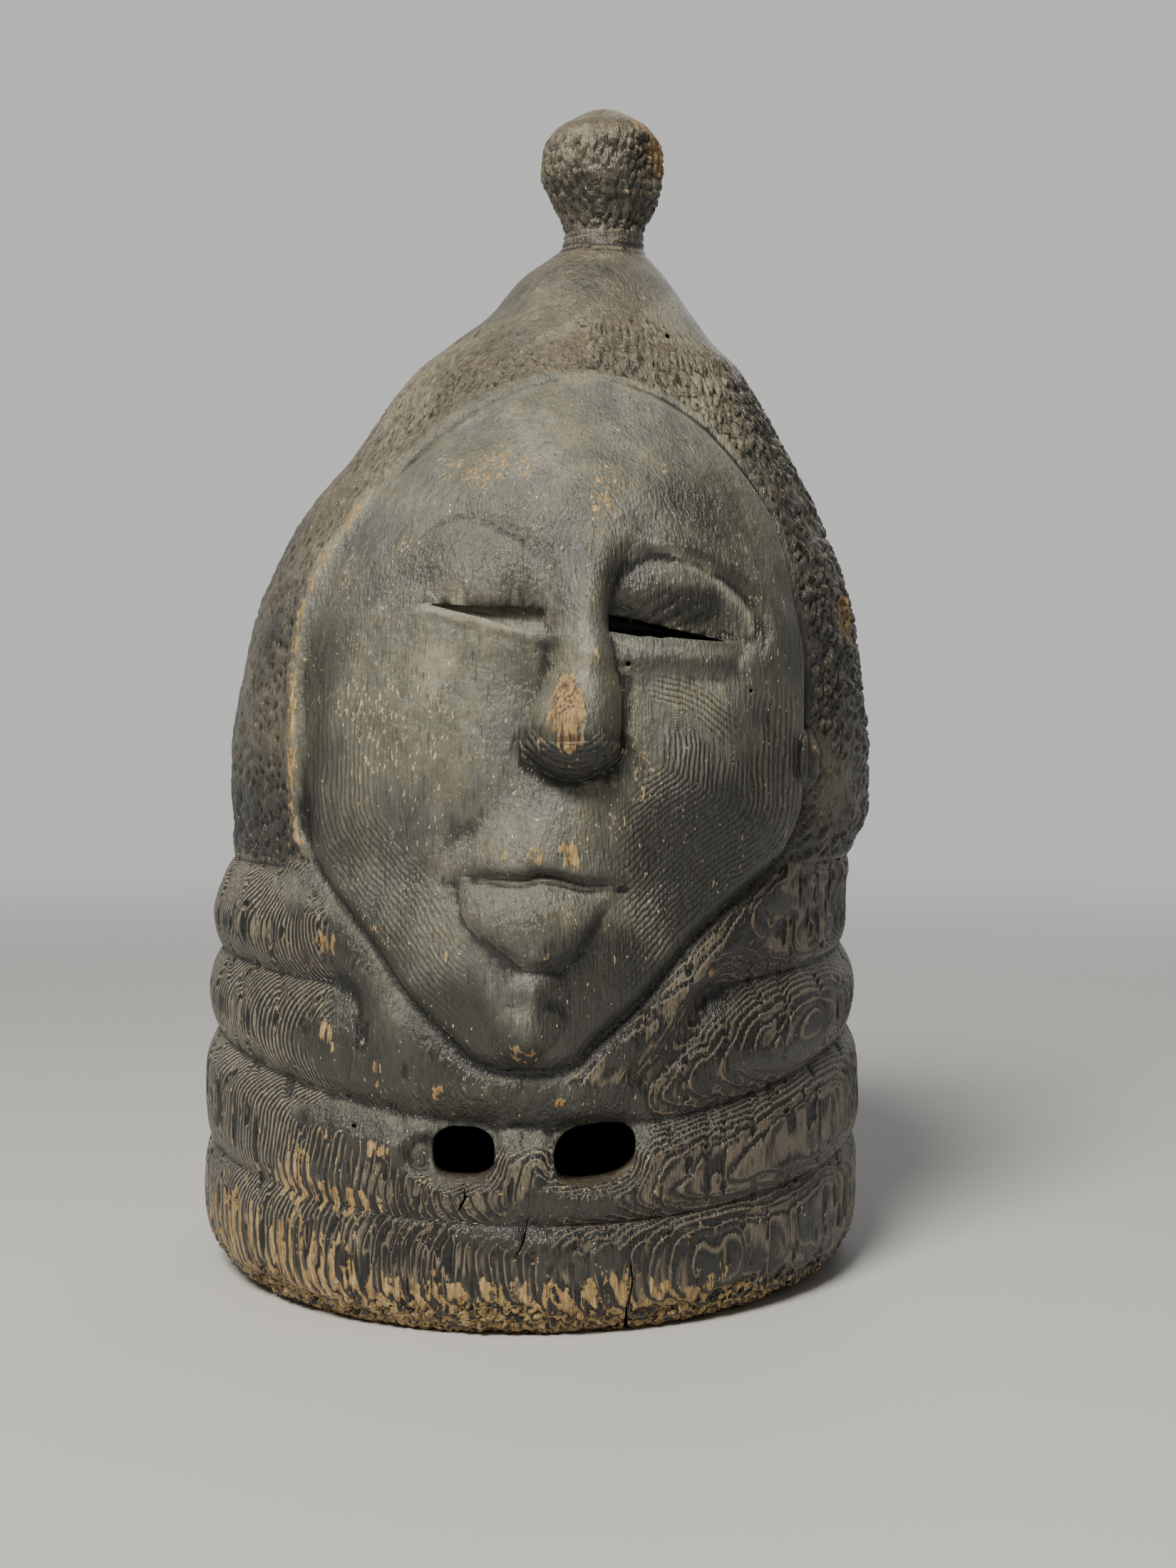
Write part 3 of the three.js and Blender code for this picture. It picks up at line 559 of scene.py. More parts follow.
def form_relief(face, x, z, depth, level, facing):
    """How far the carved form stands out from the plain block."""
    front = face["side"] < 0
    side = (x - along(face["outline_centre"], 1, z)) / along(FACE_HALF_WIDTH, 1, z)
    hairline = smooth((z - 126) / 34)
    lean = face["lean"] * np.clip(side, -1, 1)
    step = mix(along(FACE_SWELL, 1, z), HAIRLINE_STEP + lean, hairline)
    rest = 1 - np.clip(depth / along(FACE_SWELL, 3, z), 0, 1)
    swelling = 1 - rest ** (1.3 + 0.7 * smooth((z - 120) / 50))
    features = nose_relief(face, x, z) + mouth_relief(face, x, z) + chin_relief(face, x, z)
    for eye in face["eyes"]:
        features += eye_relief(eye, x, z)
    in_face = smooth((depth + 1.5) / 4.5)
    face_part = in_face * (step + along(FACE_SWELL, 2, z) * swelling + features)
    fade_up = smooth((CONE_TOP - 45 - z) / 45)
    groove = -(0.9 + (0.7 + 0.6 * lean) * hairline) * bell((depth + 0.8) / 2.2) * fade_up
    hair_lip = (1.1 - 0.45 * lean) * bell((depth + 4) / 2.6) * smooth((z - HAIR_END_Z - 2) / 6) * fade_up
    outside = (1 - in_face) * neck_relief(depth, level, facing, x, z, front)
    relief = face["relief"] * face_part + outside + groove + hair_lip + ear_relief(face, x, z)
    if front:
        relief = relief + sight_hole_relief(x, z) + 0.8 * bell(path_distance(SOCKET_RIM, x, z)[0] / 2)
    return relief


def growth_rings(x, y, z):
    """How many growth rings lie between the pith and each place; the tree grew unevenly."""
    far = np.hypot(x - PITH[0], y - PITH[1])
    uneven = 2.4 * swell(x, y, z, (52, 52, 95), 21) + 0.55 * swell(x, y, z, (15, 15, 30), 22)
    ragged = 0.22 * swell(x, y, z, (5, 5, 13), 23)
    return (far + uneven + ragged) / RING_STEP


def line_spacing(value, x, y, z):
    """How far apart whole steps of a value lie on a grid of points, in millimetres."""
    steep = 0
    for axis in (0, 1):
        rise, dx, dy, dz = [np.gradient(v, axis=axis) for v in (value, x, y, z)]
        steep += rise**2 / (dx**2 + dy**2 + dz**2 + 1e-9)
    return 1 / np.sqrt(steep + 1e-9)


def zones(x, y, z, depth):
    """How far each place belongs to the hair, face, bare cone, knob and neck."""
    above = smooth((z - HAIR_END_Z - 1) / 3)
    hair_top = HAIR_TOP_Z + 13 * swell(x, y, z, (26, 26, 40), 91) - 12 * smooth((30 - np.abs(y)) / 30)
    hair = smooth((-depth - 2.2) / 2) * above * smooth((hair_top - z) / 22)
    face = smooth((depth - 1) / 4)
    cone = smooth((-depth - 1) / 4) * smooth((z - 262) / 14) * smooth((346 - z) / 6)
    knob = smooth((z - KNOB_NECK_Z) / 5)
    return hair, face, cone, knob, smooth((-depth - 1) / 4) * (1 - above)


def gouged(x, y, z):
    """Crumbly round gouge marks, on the left of the hair, deepest near its lower end."""
    around = np.arctan2(x, -y) * GOUGED_RADIUS
    near = cells(around, 0 * z, z, (3.9, 9, 3.6), 32)[0]
    pits = 1 - smooth(near / 0.8)
    crumbs = 0.5 + 0.5 * swell(around, 0 * z, z, (2, 9, 2.4), 33)
    deeper = 0.7 + 0.3 * swell(x, y, z, 16, 34) + 0.5 * smooth((178 - z) / 24)
    return -HAIR_DENT * deeper * (pits + 0.5 * crumbs)


def slanting_cuts(x, y, z):
    """Short knife cuts that rise to the right, on the right of the hair."""
    around = np.arctan2(x, -y) * CUT_RADIUS
    u, v = turned(around, z + 2.5 * swell(x, y, z, 14, 36), 0, 0, 36)
    near, second = cells(u, v, 0 * z, (7.4, 2.8, 3), 35)
    ridges = smooth((second - near) / 0.45)
    smoother = bell((x - 102) / 18) * bell((z - 165) / 15)
    return -HAIR_DENT * (1.25 - 1.2 * ridges + 0.3 * swell(x, y, z, 1.9, 38)) * (1 - 0.7 * smoother)


def knob_relief(x, y, z):
    """Chisel marks round the middle of the knob, rings on its neck, a flat on its right."""
    centre = along(BLOCK, 2, z)
    middle = smooth((z - KNOB_ROUND_Z) / 6) * smooth((393 - z) / 9)
    bend = 0.9 * swell(x, y, z, 5, 43)
    near, second = cells(x + bend, y, z + bend, (4.3, 4.3, 2.9), 41)
    marks = 1 - smooth((second - near) / 0.4) + 0.35 * swell(x, y, z, 1.8, 44)
    relief = -KNOB_DENT * middle * marks * (0.7 + 0.5 * swell(x, y, z, 12, 45))
    neck = smooth((z - KNOB_NECK_Z) / 4) * smooth((364 - z) / 6)
    relief -= 0.3 * neck * (1 + np.sin(z * 2.3 + 2.4 * swell(x, y, z, 9, 46)))
    nx, ny = KNOB_FLAT_DIRECTION
    over = (x - centre) * nx + y * ny - KNOB_FLAT_DISTANCE
    flat = np.clip(over, 0, 3) * smooth((z - 358) / 4) * smooth((388 - z) / 3)
    return relief - flat - 0.35 * (1 + swell(x, y, z, 7, 47))


def rim_relief(x, y, z):
    """The lower edge is frayed and chipped."""
    fray = 0.75 * (1 + swell(x, y, z, (1.7, 1.7, 2.6), 51)) * smooth((12 - z) / 9)
    chips = 1.6 * smooth((swell(x, y, z, (9, 9, 7), 52) - 0.28) / 0.2) * smooth((13 - z) / 8)
    near, second = cells(x, y, z, (3.6, 3.6, 2.3), 53)
    crumbs = 1.5 * (1 - smooth((second - near) / 0.35)) * smooth((13 + 4 * swell(x, y, z, 14, 54) - z) / 6)
    return -fray - chips - crumbs


def peeled(x, y, z):
    """How far the black skin of the neck is worn thin, so that the growth rings show."""
    sides = smooth((-x - 44) / 46) + 0.7 * smooth((x - 24) / 22)
    low = smooth((46 - z) / 18) * smooth((-x - 5) / 55) + 0.5 * smooth((22 - z) / 14)
    low += 0.6 * smooth((58 - z) / 12) * smooth((x + 66) / 30)
    blots = 0.6 * swell(x, y, z, (24, 24, 8), 24) + 0.25 * swell(x, y, z, (6, 6, 14), 25)
    return np.clip(0.15 + np.where(y < 0, np.minimum(sides + low, 1), 0.45) + blots, 0, 1)


def ring_relief(x, y, z, face, neck):
    """The hard late wood of each growth ring stands out where the ring is cut at a slant."""
    rings = growth_rings(x, y, z)
    shown = smooth((line_spacing(rings, x, y, z) - 1.9) / 1.3)
    shown = shown * (neck * peeled(x, y, z) + 0.08 * face)
    crest = 0.5 + 0.5 * np.cos(2 * np.pi * (rings - 0.58))
    return -0.85 * shown * (1 - crest**1.5)


def fold_lines(depth, x, z):
    """A distance whose whole steps run along the fine grooves of a face, and their strength.
    Near its edge they follow its outline, elsewhere they curve round the ends of FOLDS."""
    low = smooth((214 - z) / 50)
    right = smooth((x - 24) / 18) * low
    left = 0.4 * smooth((-x - 4) / 24) * smooth((34 - depth) / 14) * low
    strength = np.maximum(right, left) * smooth((depth - 0.5) / 2) * smooth((52 - depth) / 12)
    distance = depth
    for centre_x, centre_z, radius, half_band, direction, spread, strong in FOLDS:
        far = np.hypot(x - centre_x, z - centre_z)
        turn = np.degrees(np.arctan2(z - centre_z, x - centre_x)) - direction
        turn = np.abs((turn + 180) % 360 - 180)
        kept = smooth((1.5 - np.abs(far - radius) / half_band) / 0.8) * smooth((spread - turn) / 25)
        distance = np.where(kept > 0.5, far, distance)
        strength = strength * (1 - smooth(kept * 4)) + strong * smooth(kept * 2 - 1)
    return distance, strength


def fine_relief(x, y, z, depth):
    """The marks of knife, chisel, weather and wear, which only ever take wood away."""
    hair, face, cone, knob, neck = zones(x, y, z, depth)
    facets = 0.42 * (1 + swell(x, y, z, (12, 12, 15), 61)) + 0.14 * (1 + swell(x, y, z, (4.5, 4.5, 7), 62))
    relief = -facets * (1 - 0.6 * knob)
    tooled = mix(gouged(x, y, z), slanting_cuts(x, y, z), smooth((x - 10) / 14))
    relief += hair * tooled
    pits = smooth((0.36 - cells(x, y, z, (2.6, 2.6, 2.2), 64)[0]) / 0.16)
    pitted = cone * smooth((326 - z) / 12) * smooth((swell(x, y, z, 11, 67) + 0.35) / 0.5)
    relief -= 0.8 * pits * pitted
    relief = relief + knob * knob_relief(x, y, z) + rim_relief(x, y, z)
    relief += ring_relief(x, y, z, face, neck)
    torn = smooth((swell(x, y, z, (3, 3, 10), 71) - 0.32) / 0.2)
    relief -= 0.55 * torn * (1.1 * neck + 0.2 * face)
    nose = bell((x - 14.5) / 7) * bell((z - 187) / 13) * (y < 0)
    relief -= nose * (0.35 + 0.3 * swell(x, y, z, (1.6, 1.6, 9), 73))
    lid = bell((x - 47) / 12) * bell((z - 221) / 6) * (y < 0)
    across = 0.82 * z - 0.57 * x + 1.4 * swell(x, y, z, (7, 7, 7), 74)
    relief -= 0.5 * lid * (1 + np.sin(across * 2 * np.pi / WRINKLE_STEP))
    return np.minimum(relief, 0)


def grid_of(bands):
    """Grid lines from bands of (from, to, steps), without the very last one."""
    lines = [start + (end - start) * np.arange(steps) / steps for start, end, steps in bands]
    return np.concatenate(lines)


def carved_outside():
    """The outside of the block as rows and columns of points, in millimetres."""
    angle = np.radians(grid_of(COLUMNS))[None, :]
    level = np.append(grid_of(ROWS), KNOB_TOP_Z)[:, None]
    sin, cos = np.sin(angle), np.cos(angle)
    z = level - along(DROOP, 1, level) * cos**2 * (1 + 0.25 * sin)
    x = along(BLOCK, 2, z) + along(BLOCK, 1, z) * sin
    y = -along(BLOCK, 3, z) * cos
    level = np.broadcast_to(level, x.shape)
    facing = np.broadcast_to(cos**2, x.shape)
    relief = np.zeros(x.shape)
    # The knob lies far outside both faces
    depth = np.full(x.shape, -99.0)
    below_knob = z[:, 0] < CONE_TOP
    for face, columns in ((FRONT, cos[0] > 0), (BACK, cos[0] <= 0)):
        part = np.ix_(below_knob, columns)
        depth[part] = depth_inside(face, x[part], z[part])
        relief[part] = form_relief(face, x[part], z[part], depth[part], level[part], facing[part])
    sideways = mix(sin**3, sin, smooth((z - 300) / 40))
    out = np.stack(np.broadcast_arrays(sideways, -cos))
    out = out / np.linalg.norm(out, axis=0)
    x, y = x + relief * out[0], y + relief * out[1]
    fine = fine_relief(x, y, z, depth)
    # The very top stays unmarked
    fine[-2:] = 0
    return x + fine * out[0], y + fine * out[1], z


def hollow_inside():
    """The hollow, with the scoops that the adze left."""
    angle = np.linspace(0, 2 * math.pi, HOLLOW_COLUMNS, endpoint=False)[None, :]
    turn = np.sin(np.linspace(0, math.pi / 2, HOLLOW_ROWS))[:, None]
    z = HOLLOW[-1][0] * turn + 0 * angle
    sin, cos = np.sin(angle), np.cos(angle)
    wide, deep = along(HOLLOW, 1, z), along(HOLLOW, 3, z)
    scoop = cells(wide * sin, deep * cos, z, (24, 24, 34), 81)[0]
    ridges = 1.6 * smooth(scoop / 0.8) * smooth(z / 12) * smooth((296 - z) / 20)
    return along(HOLLOW, 2, z) + (wide - ridges) * sin, -(deep - ridges) * cos, z


def grid_faces(first, rows, columns, flip):
    """Quads between rows of points, closed round."""
    r, c = np.meshgrid(np.arange(rows - 1), np.arange(columns), indexing="ij")
    n = (c + 1) % columns
    corners = (r * columns + c, r * columns + n, (r + 1) * columns + n, (r + 1) * columns + c)
    quads = np.stack(corners, axis=-1).reshape(-1, 4) + first
    return quads[:, ::-1] if flip else quads


def rim_faces(outer_angle, inner_angle, first_inner):
    """The flat rim between two rings that have different numbers of points."""
    outer_turn = np.unwrap(np.append(outer_angle, outer_angle[0]))
    outer_turn -= outer_turn[0]
    inner_turn = np.mod(inner_angle - outer_angle[0], 2 * math.pi)
    order = np.roll(np.arange(len(inner_turn)), -np.argmin(inner_turn))
    inner_turn = np.append(inner_turn[order], inner_turn[order[0]] + 2 * math.pi)
    points = [[*range(len(outer_angle)), 0], (first_inner + np.append(order, order[0])).tolist()]
    last = [ring_points[0] for ring_points in points]
    steps = []
    for ring, turns in enumerate((outer_turn, inner_turn)):
        steps += [(turn, ring, point) for turn, point in zip(turns[1:], points[ring][1:])]
    faces = []
    for _, ring, point in sorted(steps):
        faces.append([*last, point])
        last[ring] = point
    return faces


def new_mesh(name, points, faces):
    """A mesh of points in millimetres round the mask's own axis."""
    mesh = bpy.data.meshes.new(name)
    mesh.from_pydata(((np.array(points) + (AXIS_X, AXIS_Y, 0)) * MM).tolist(), [], faces)
    return mesh


def new_piece(name, data):
    piece = bpy.data.objects.new(name, data)
    bpy.context.collection.objects.link(piece)
    return piece


def read(items, name, width, kind=float):
    """What each vertex or edge has under a name, as a row of so many numbers."""
    values = np.empty(width * len(items), dtype=kind)
    items.foreach_get(name, values)
    return values.reshape(-1, width)


def closed_mesh(name):
    """Outside, rim and hollow as one closed mesh."""
    outer = carved_outside()
    inner = hollow_inside()
    rows, columns = outer[0].shape
    inner_rows, inner_columns = inner[0].shape
    points = [np.column_stack([v.ravel() for v in grid]) for grid in (outer, inner)]
    first_inner = rows * columns
    faces = grid_faces(0, rows, columns, False).tolist()
    faces += grid_faces(first_inner, inner_rows, inner_columns, True).tolist()
    faces.append(list(range((rows - 1) * columns, rows * columns)))
    last_ring = first_inner + (inner_rows - 1) * inner_columns
    faces.append(list(range(last_ring, last_ring + inner_columns))[::-1])
    angle = [np.arctan2(g[0][0] - BLOCK[0][2], -g[1][0]) for g in (outer, inner)]
    faces += rim_faces(angle[0], angle[1], first_inner)
    mesh = new_mesh(name, np.vstack(points), faces)
    mesh.validate()
    return mesh


def prism(outline, from_y, to_y):
    """Points and faces of a prism along Y through an outline of (x, z), in millimetres."""
    x, z = np.array(outline, dtype=float).T
    way = -1 if np.sum(x * np.roll(z, -1) - z * np.roll(x, -1)) > 0 else 1
    count = len(x)
    points = []
    for y in (from_y, to_y):
        points += list(zip(x[::way], np.broadcast_to(y, count)[::way], z[::way]))
    faces = [[i, (i + 1) % count, count + (i + 1) % count, count + i] for i in range(count)]
    faces.append(list(range(count))[::-1])
    faces.append(list(range(count, 2 * count)))
    return points, faces


def slit_outline(eye):
    outer_x, inner_x = eye["outer"][0], eye["inner"][0]
    x = outer_x + (inner_x - outer_x) * np.linspace(0.02, 1, 24)
    low, high, _ = slit_edges(eye, x)
    ragged = 0.09 * (high - low) * swell(x, 0 * x, 0 * x, 3, 91)
    return list(zip(x, low + ragged)) + list(zip(x[::-1], (high - ragged)[::-1]))


def crack_outline(points, half_width):
    """A thin crack as a closed outline along given points of (x, z)."""
    line = np.array(points, dtype=float)
    width = half_width * np.sin(np.linspace(0.3, math.pi - 0.3, len(line)))
    side = np.column_stack((width, 0 * width))
    return np.vstack((line - side, (line + side)[::-1]))


def openings():
    """Prisms through the sight holes, eye slits, rim splits, cracks and worm holes."""
    prisms = []
    for x, half_x, half_z, lean in SIGHT_HOLES:
        outline = round_outline(x, SIGHT_HOLE_Z, half_x, half_z, 28, HOLE_ROUNDNESS)
        outline[:, 1] += lean * (outline[:, 0] - x)
        prisms.append(prism(outline, -FAR_OUT, -SIGHT_HOLE_FLOOR))
    for face in (FRONT, BACK):
        for eye in face["eyes"]:
            outline = slit_outline(eye)
            inner_x, outer_x = eye["inner"][0], eye["outer"][0]
            across = [(x - inner_x) / (outer_x - inner_x) for x, _ in outline]
            floor = face["side"] * mix(eye["floor"][0], eye["floor"][1], np.array(across))
            reach = (-FAR_OUT, floor) if face["side"] < 0 else (floor, FAR_OUT)
            prisms.append(prism(outline, *reach))
    for x, y, width, height in RIM_SPLITS:
        wedge = [(x - width / 2, -1), (x + width / 2, -1), (x + width / 4, height)]
        prisms.append(prism(wedge, y - SPLIT_REACH, y + SPLIT_REACH))
    for points, half_width, floor in CRACKS:
        prisms.append(prism(crack_outline(points, half_width), -FAR_OUT, -floor))
    for x, z, radius, floor in WORM_HOLES:
        prisms.append(prism(round_outline(x, z, radius, radius, 8), -FAR_OUT, -floor))
    return prisms


def joined(name, prisms):
    """One object of several prisms."""
    points, faces = [], []
    for part_points, part_faces in prisms:
        faces += [[i + len(points) for i in face] for face in part_faces]
        points += part_points
    return new_piece(name, new_mesh(name, points, faces))


def cut(piece, cutter):
    """Takes the cutter away from the piece and deletes it."""
    modifier = piece.modifiers.new("cut", "BOOLEAN")
    modifier.operation = "DIFFERENCE"
    modifier.solver = "MANIFOLD"
    modifier.object = cutter
    apply_modifiers(piece)
    bpy.data.objects.remove(cutter)


def lighten(piece, most):
    """Brings the mesh under a number of triangles; it stays fine where its shape is fine."""
    piece.data.calc_loop_triangles()
    count = len(piece.data.loop_triangles)
    if count > most:
        modifier = piece.modifiers.new("lighten", "DECIMATE")
        modifier.ratio = most / count
        apply_modifiers(piece)


def apply_modifiers(piece):
    graph = bpy.context.evaluated_depsgraph_get()
    result = bpy.data.meshes.new_from_object(piece.evaluated_get(graph))
    piece.modifiers.clear()
    piece.data = result


def helmet_mask():
    mask = new_piece("carved_mask", closed_mesh("carved_mask"))
    cut(mask, joined("openings", openings()))
    lighten(mask, MOST_TRIANGLES)
    for polygon in mask.data.polygons:
        polygon.use_smooth = True
    place = read(mask.data.vertices, "co", 3)
    place[:, 2] = np.clip(place[:, 2], 0, KNOB_TOP_Z * MM)
    mask.data.vertices.foreach_set("co", place.ravel())
    write_finish(mask.data)
    return mask


def hollowness(mesh, place, normal, reach):
    """How deep each vertex lies below the vertices round it, in millimetres."""
    a, b = read(mesh.edges, "vertices", 2, np.int64).T
    count = len(place)
    near = np.bincount(a, minlength=count) + np.bincount(b, minlength=count)
    mean = place
    for _ in range(reach):
        sums = [np.bincount(a, mean[b, k], count) + np.bincount(b, mean[a, k], count) for k in range(3)]
        mean = np.stack(sums, axis=1) / near[:, None]
    return np.sum((mean - place) * normal, axis=1)


def patches(rows, x, z):
    """Soft oval patches added up."""
    total = 0
    for centre_x, centre_z, half_x, half_z, strength in rows:
        q = np.hypot((x - centre_x) / half_x, (z - centre_z) / half_z)
        total += strength * (1 - smooth((q - 0.55) / 0.8))
    return total


def inside_hollow(x, y, z):
    wide, deep = along(HOLLOW, 1, z), along(HOLLOW, 3, z)
    q = np.hypot((x - along(HOLLOW, 2, z)) / wide, y / deep)
    return (q < 1 + 1.5 / deep) & (z < HOLLOW[-1][0] + 1)


def write_finish(mesh):
    """Writes on each vertex what the wood's finish needs to know."""
    place = read(mesh.vertices, "co", 3) / MM - (AXIS_X, AXIS_Y, 0)
    normal = read(mesh.vertices, "normal", 3)
    x, y, z = place.T
    front = y < 0
    depth = np.where(front, depth_inside(FRONT, x, z), depth_inside(BACK, x, z))
    hair, face, cone, knob, neck = zones(x, y, z, depth)
    fine = hollowness(mesh, place, normal, FINE_REACH)
    broad = hollowness(mesh, place, normal, BROAD_REACH)
    inside = inside_hollow(x, y, z)
    # How hollow each place is, for painted shade in the hollows: less of the broad hollows on the faces,
    # and less in the left slit and beside the nose
    broad_shade = 0.4 - face * np.where(front, 0.25, 0.36)
    crease = np.clip(fine / 0.34, -1, 1) + broad_shade * np.clip(broad / 1.6, -1, 1)
    low, high, s = slit_edges(FRONT["eyes"][0], x)
    in_slit = smooth((z - low) / 0.8 + 0.5) * smooth((high - z) / 0.8 + 0.5) * front * (s > 0) * (s < 1.02)
    crease = crease * (1 - 0.7 * in_slit) - 0.6 * front * bell((x - 1) / 8) * bell((z - 192) / 24)
    rim = smooth((15 - z) / 13)
    worn = 0.16 * rim + 0.2 * smooth((5 - z) / 4)
    worn += 0.2 * np.clip(-crease - 0.3, 0, 1) * (1 - 0.5 * neck)
    worn += front * patches(WORN_PATCHES, x, z)
    hair_edge = bell((depth + 3.4) / 2) * smooth((z - HAIR_END_Z) / 4) * (x < 20)
    worn += 0.3 * hair_edge * smooth((z - 144) / 8) * smooth((275 - z) / 40)
    under_slits = 0
    for eye, drop in zip(FRONT["eyes"], LID_EDGE_DROP):
        low, _, s = slit_edges(eye, x)
        along_slit = smooth((s + 0.15) * 6) * smooth((1.03 - s) * 9)
        under_slits += bell((z - low + drop) / 1.3) * along_slit
    # A painted highlight along the raised rim round the outer end of the right eye's socket
    socket_rim_highlight = bell(path_distance(SOCKET_RIM, x, z)[0] / 1.6) * front
    # A dusty layer with painted light and shade in it: paler on upward faces, which is partly painted
    # light, and darker on the neck and in the darker patches, which is partly painted shade
    dust_and_shading = 0.5 + 0.4 * normal[:, 2] + front * patches(DUST_AND_SHADING_PATCHES, x, z) - 0.12 * cone
    dust_and_shading = dust_and_shading - 0.35 * neck - 0.05 * hair - 0.1 * knob
    dust_and_shading = dust_and_shading + 0.6 * hair_edge * smooth((280 - z) / 40) + 0.65 * socket_rim_highlight
    dust_and_shading = dust_and_shading + 0.45 * under_slits * front - 0.1 * in_slit
    dust_and_shading += 0.26 * neck * smooth((-x - 52) / 34)
    dust_and_shading -= 0.35 * bell((depth - 5) / 7) * (x < 0) * smooth((235 - z) / 30)
    # Painted shade: darker towards the sides of the face and towards the right
    dust_and_shading = dust_and_shading - 0.16 * smooth((np.abs(x - 8) - 28) / 50) - 0.06 * smooth((x - 25) / 40)
    gloss = front * patches(GLOSSY_PATCHES, x, z)
    along_fold, folded = fold_lines(depth, x, z)
    thin = neck * peeled(x, y, z) + 0.1 * cone + 0.04 * hair
    fields = {
        "ring": growth_rings(x, y, z),
        "thin": thin,
        "low": neck * smooth((62 - z) / 20),
        "fold": along_fold,
        "folded": folded * np.where(front, 1, 0.5) * face,
        "worn": np.where(inside, 0.1, worn),
        "flecked": front * patches(FLECKED_PATCHES, x, z),
        "dust_and_shading": np.where(inside, 0.4, dust_and_shading),
        "gloss": np.where(inside, 0, gloss),
        "crease": crease,
        "tooled": hair + 0.8 * knob + 0.4 * cone,
        "inside": inside.astype(float),
    }
    for name, values in fields.items():
        attribute = mesh.attributes.new(name, "FLOAT", "POINT")
        attribute.data.foreach_set("value", np.ascontiguousarray(values, dtype=np.float32))


class Wire:
    """A number or a colour that nodes work out. Sums and products of wires add nodes."""

    def __init__(self, nodes, socket):
        self.nodes = nodes
        self.socket = socket

    def __add__(self, other):
        return self.nodes.math("ADD", self, other)

    def __sub__(self, other):
        return self.nodes.math("SUBTRACT", self, other)

    def __rsub__(self, other):
        return self.nodes.math("SUBTRACT", other, self)

    def __mul__(self, other):
        return self.nodes.math("MULTIPLY", self, other)

    __radd__ = __add__
    __rmul__ = __mul__


class Nodes:
    """Short ways to write the nodes of a material or a world."""

    def __init__(self, owner, shader):
        owner.use_nodes = True
        self.tree = owner.node_tree
        self.shader = self.tree.nodes[shader]

    def put(self, value, socket):
        if isinstance(value, Wire):
            self.tree.links.new(value.socket, socket)
        else:
            socket.default_value = value

    def shade(self, name, value):
        self.put(value, self.shader.inputs[name])

    def node(self, kind, inputs, output=0, **settings):
        """A new node with its settings and inputs, as the wire from one of its outputs."""
        node = self.tree.nodes.new("ShaderNode" + kind)
        for name, value in settings.items():
            setattr(node, name, value)
        for place, value in inputs.items():
            self.put(value, node.inputs[place])
        return Wire(self, node.outputs[output])

    def attribute(self, name):
        return self.node("Attribute", {}, "Fac", attribute_name=name)

    def math(self, operation, a, b=0.0, clamp=False):
        return self.node("Math", {0: a, 1: b}, operation=operation, use_clamp=clamp)

    def ramp(self, value, low, high, to_low=0.0, to_high=1.0):
        """Rises smoothly from to_low to to_high while the value goes from low to high."""
        inputs = {0: value, 1: low, 2: high, 3: to_low, 4: to_high}
        return self.node("MapRange", inputs, interpolation_type="SMOOTHSTEP")

    def noise(self, wide, tall, detail, roughness=0.5):
        """Noise whose swells are so many millimetres wide and tall."""
        scale = [1 / (size * MM) for size in (wide, wide, tall)]
        place = self.node("TexCoord", {}, "Object")
        place = self.node("VectorMath", {0: place, 1: scale}, operation="MULTIPLY")
        inputs = {"Vector": place, "Scale": 1, "Detail": detail, "Roughness": roughness}
        return self.node("TexNoise", inputs)

    def blend(self, amount, a, b):
        """Colour a, or colour b where the amount is 1."""
        a, b = [colour if isinstance(colour, Wire) else (*colour, 1) for colour in (a, b)]
        return self.node("Mix", {0: amount, 6: a, 7: b}, 2, data_type="RGBA")

    def bump(self, height):
        """Bumps whose height is given in millimetres."""
        self.shade("Normal", self.node("Bump", {"Distance": MM, "Height": height}, "Normal"))


# Colours of the wood
PATINA = (0.036, 0.034, 0.027)
# Near black: for the dark grain and grooves, and for painted shade in the hollows
SOOT_AND_SHADE = (0.008, 0.0078, 0.007)
FILM = (0.2, 0.19, 0.134)
FILM_BROWN = (0.19, 0.157, 0.1)
FILM_COOL = (0.172, 0.176, 0.146)
DUST = (0.38, 0.355, 0.26)
BARE = (0.4, 0.25, 0.09)
BARE_PALE = (0.55, 0.42, 0.21)
THIN = (0.41, 0.35, 0.235)
THIN_DARK = (0.17, 0.135, 0.09)
EARTH = (0.1, 0.055, 0.028)
FLECK = (0.6, 0.49, 0.31)
GLINT = (0.85, 0.82, 0.72)
LEAST_ROUGHNESS = 0.33


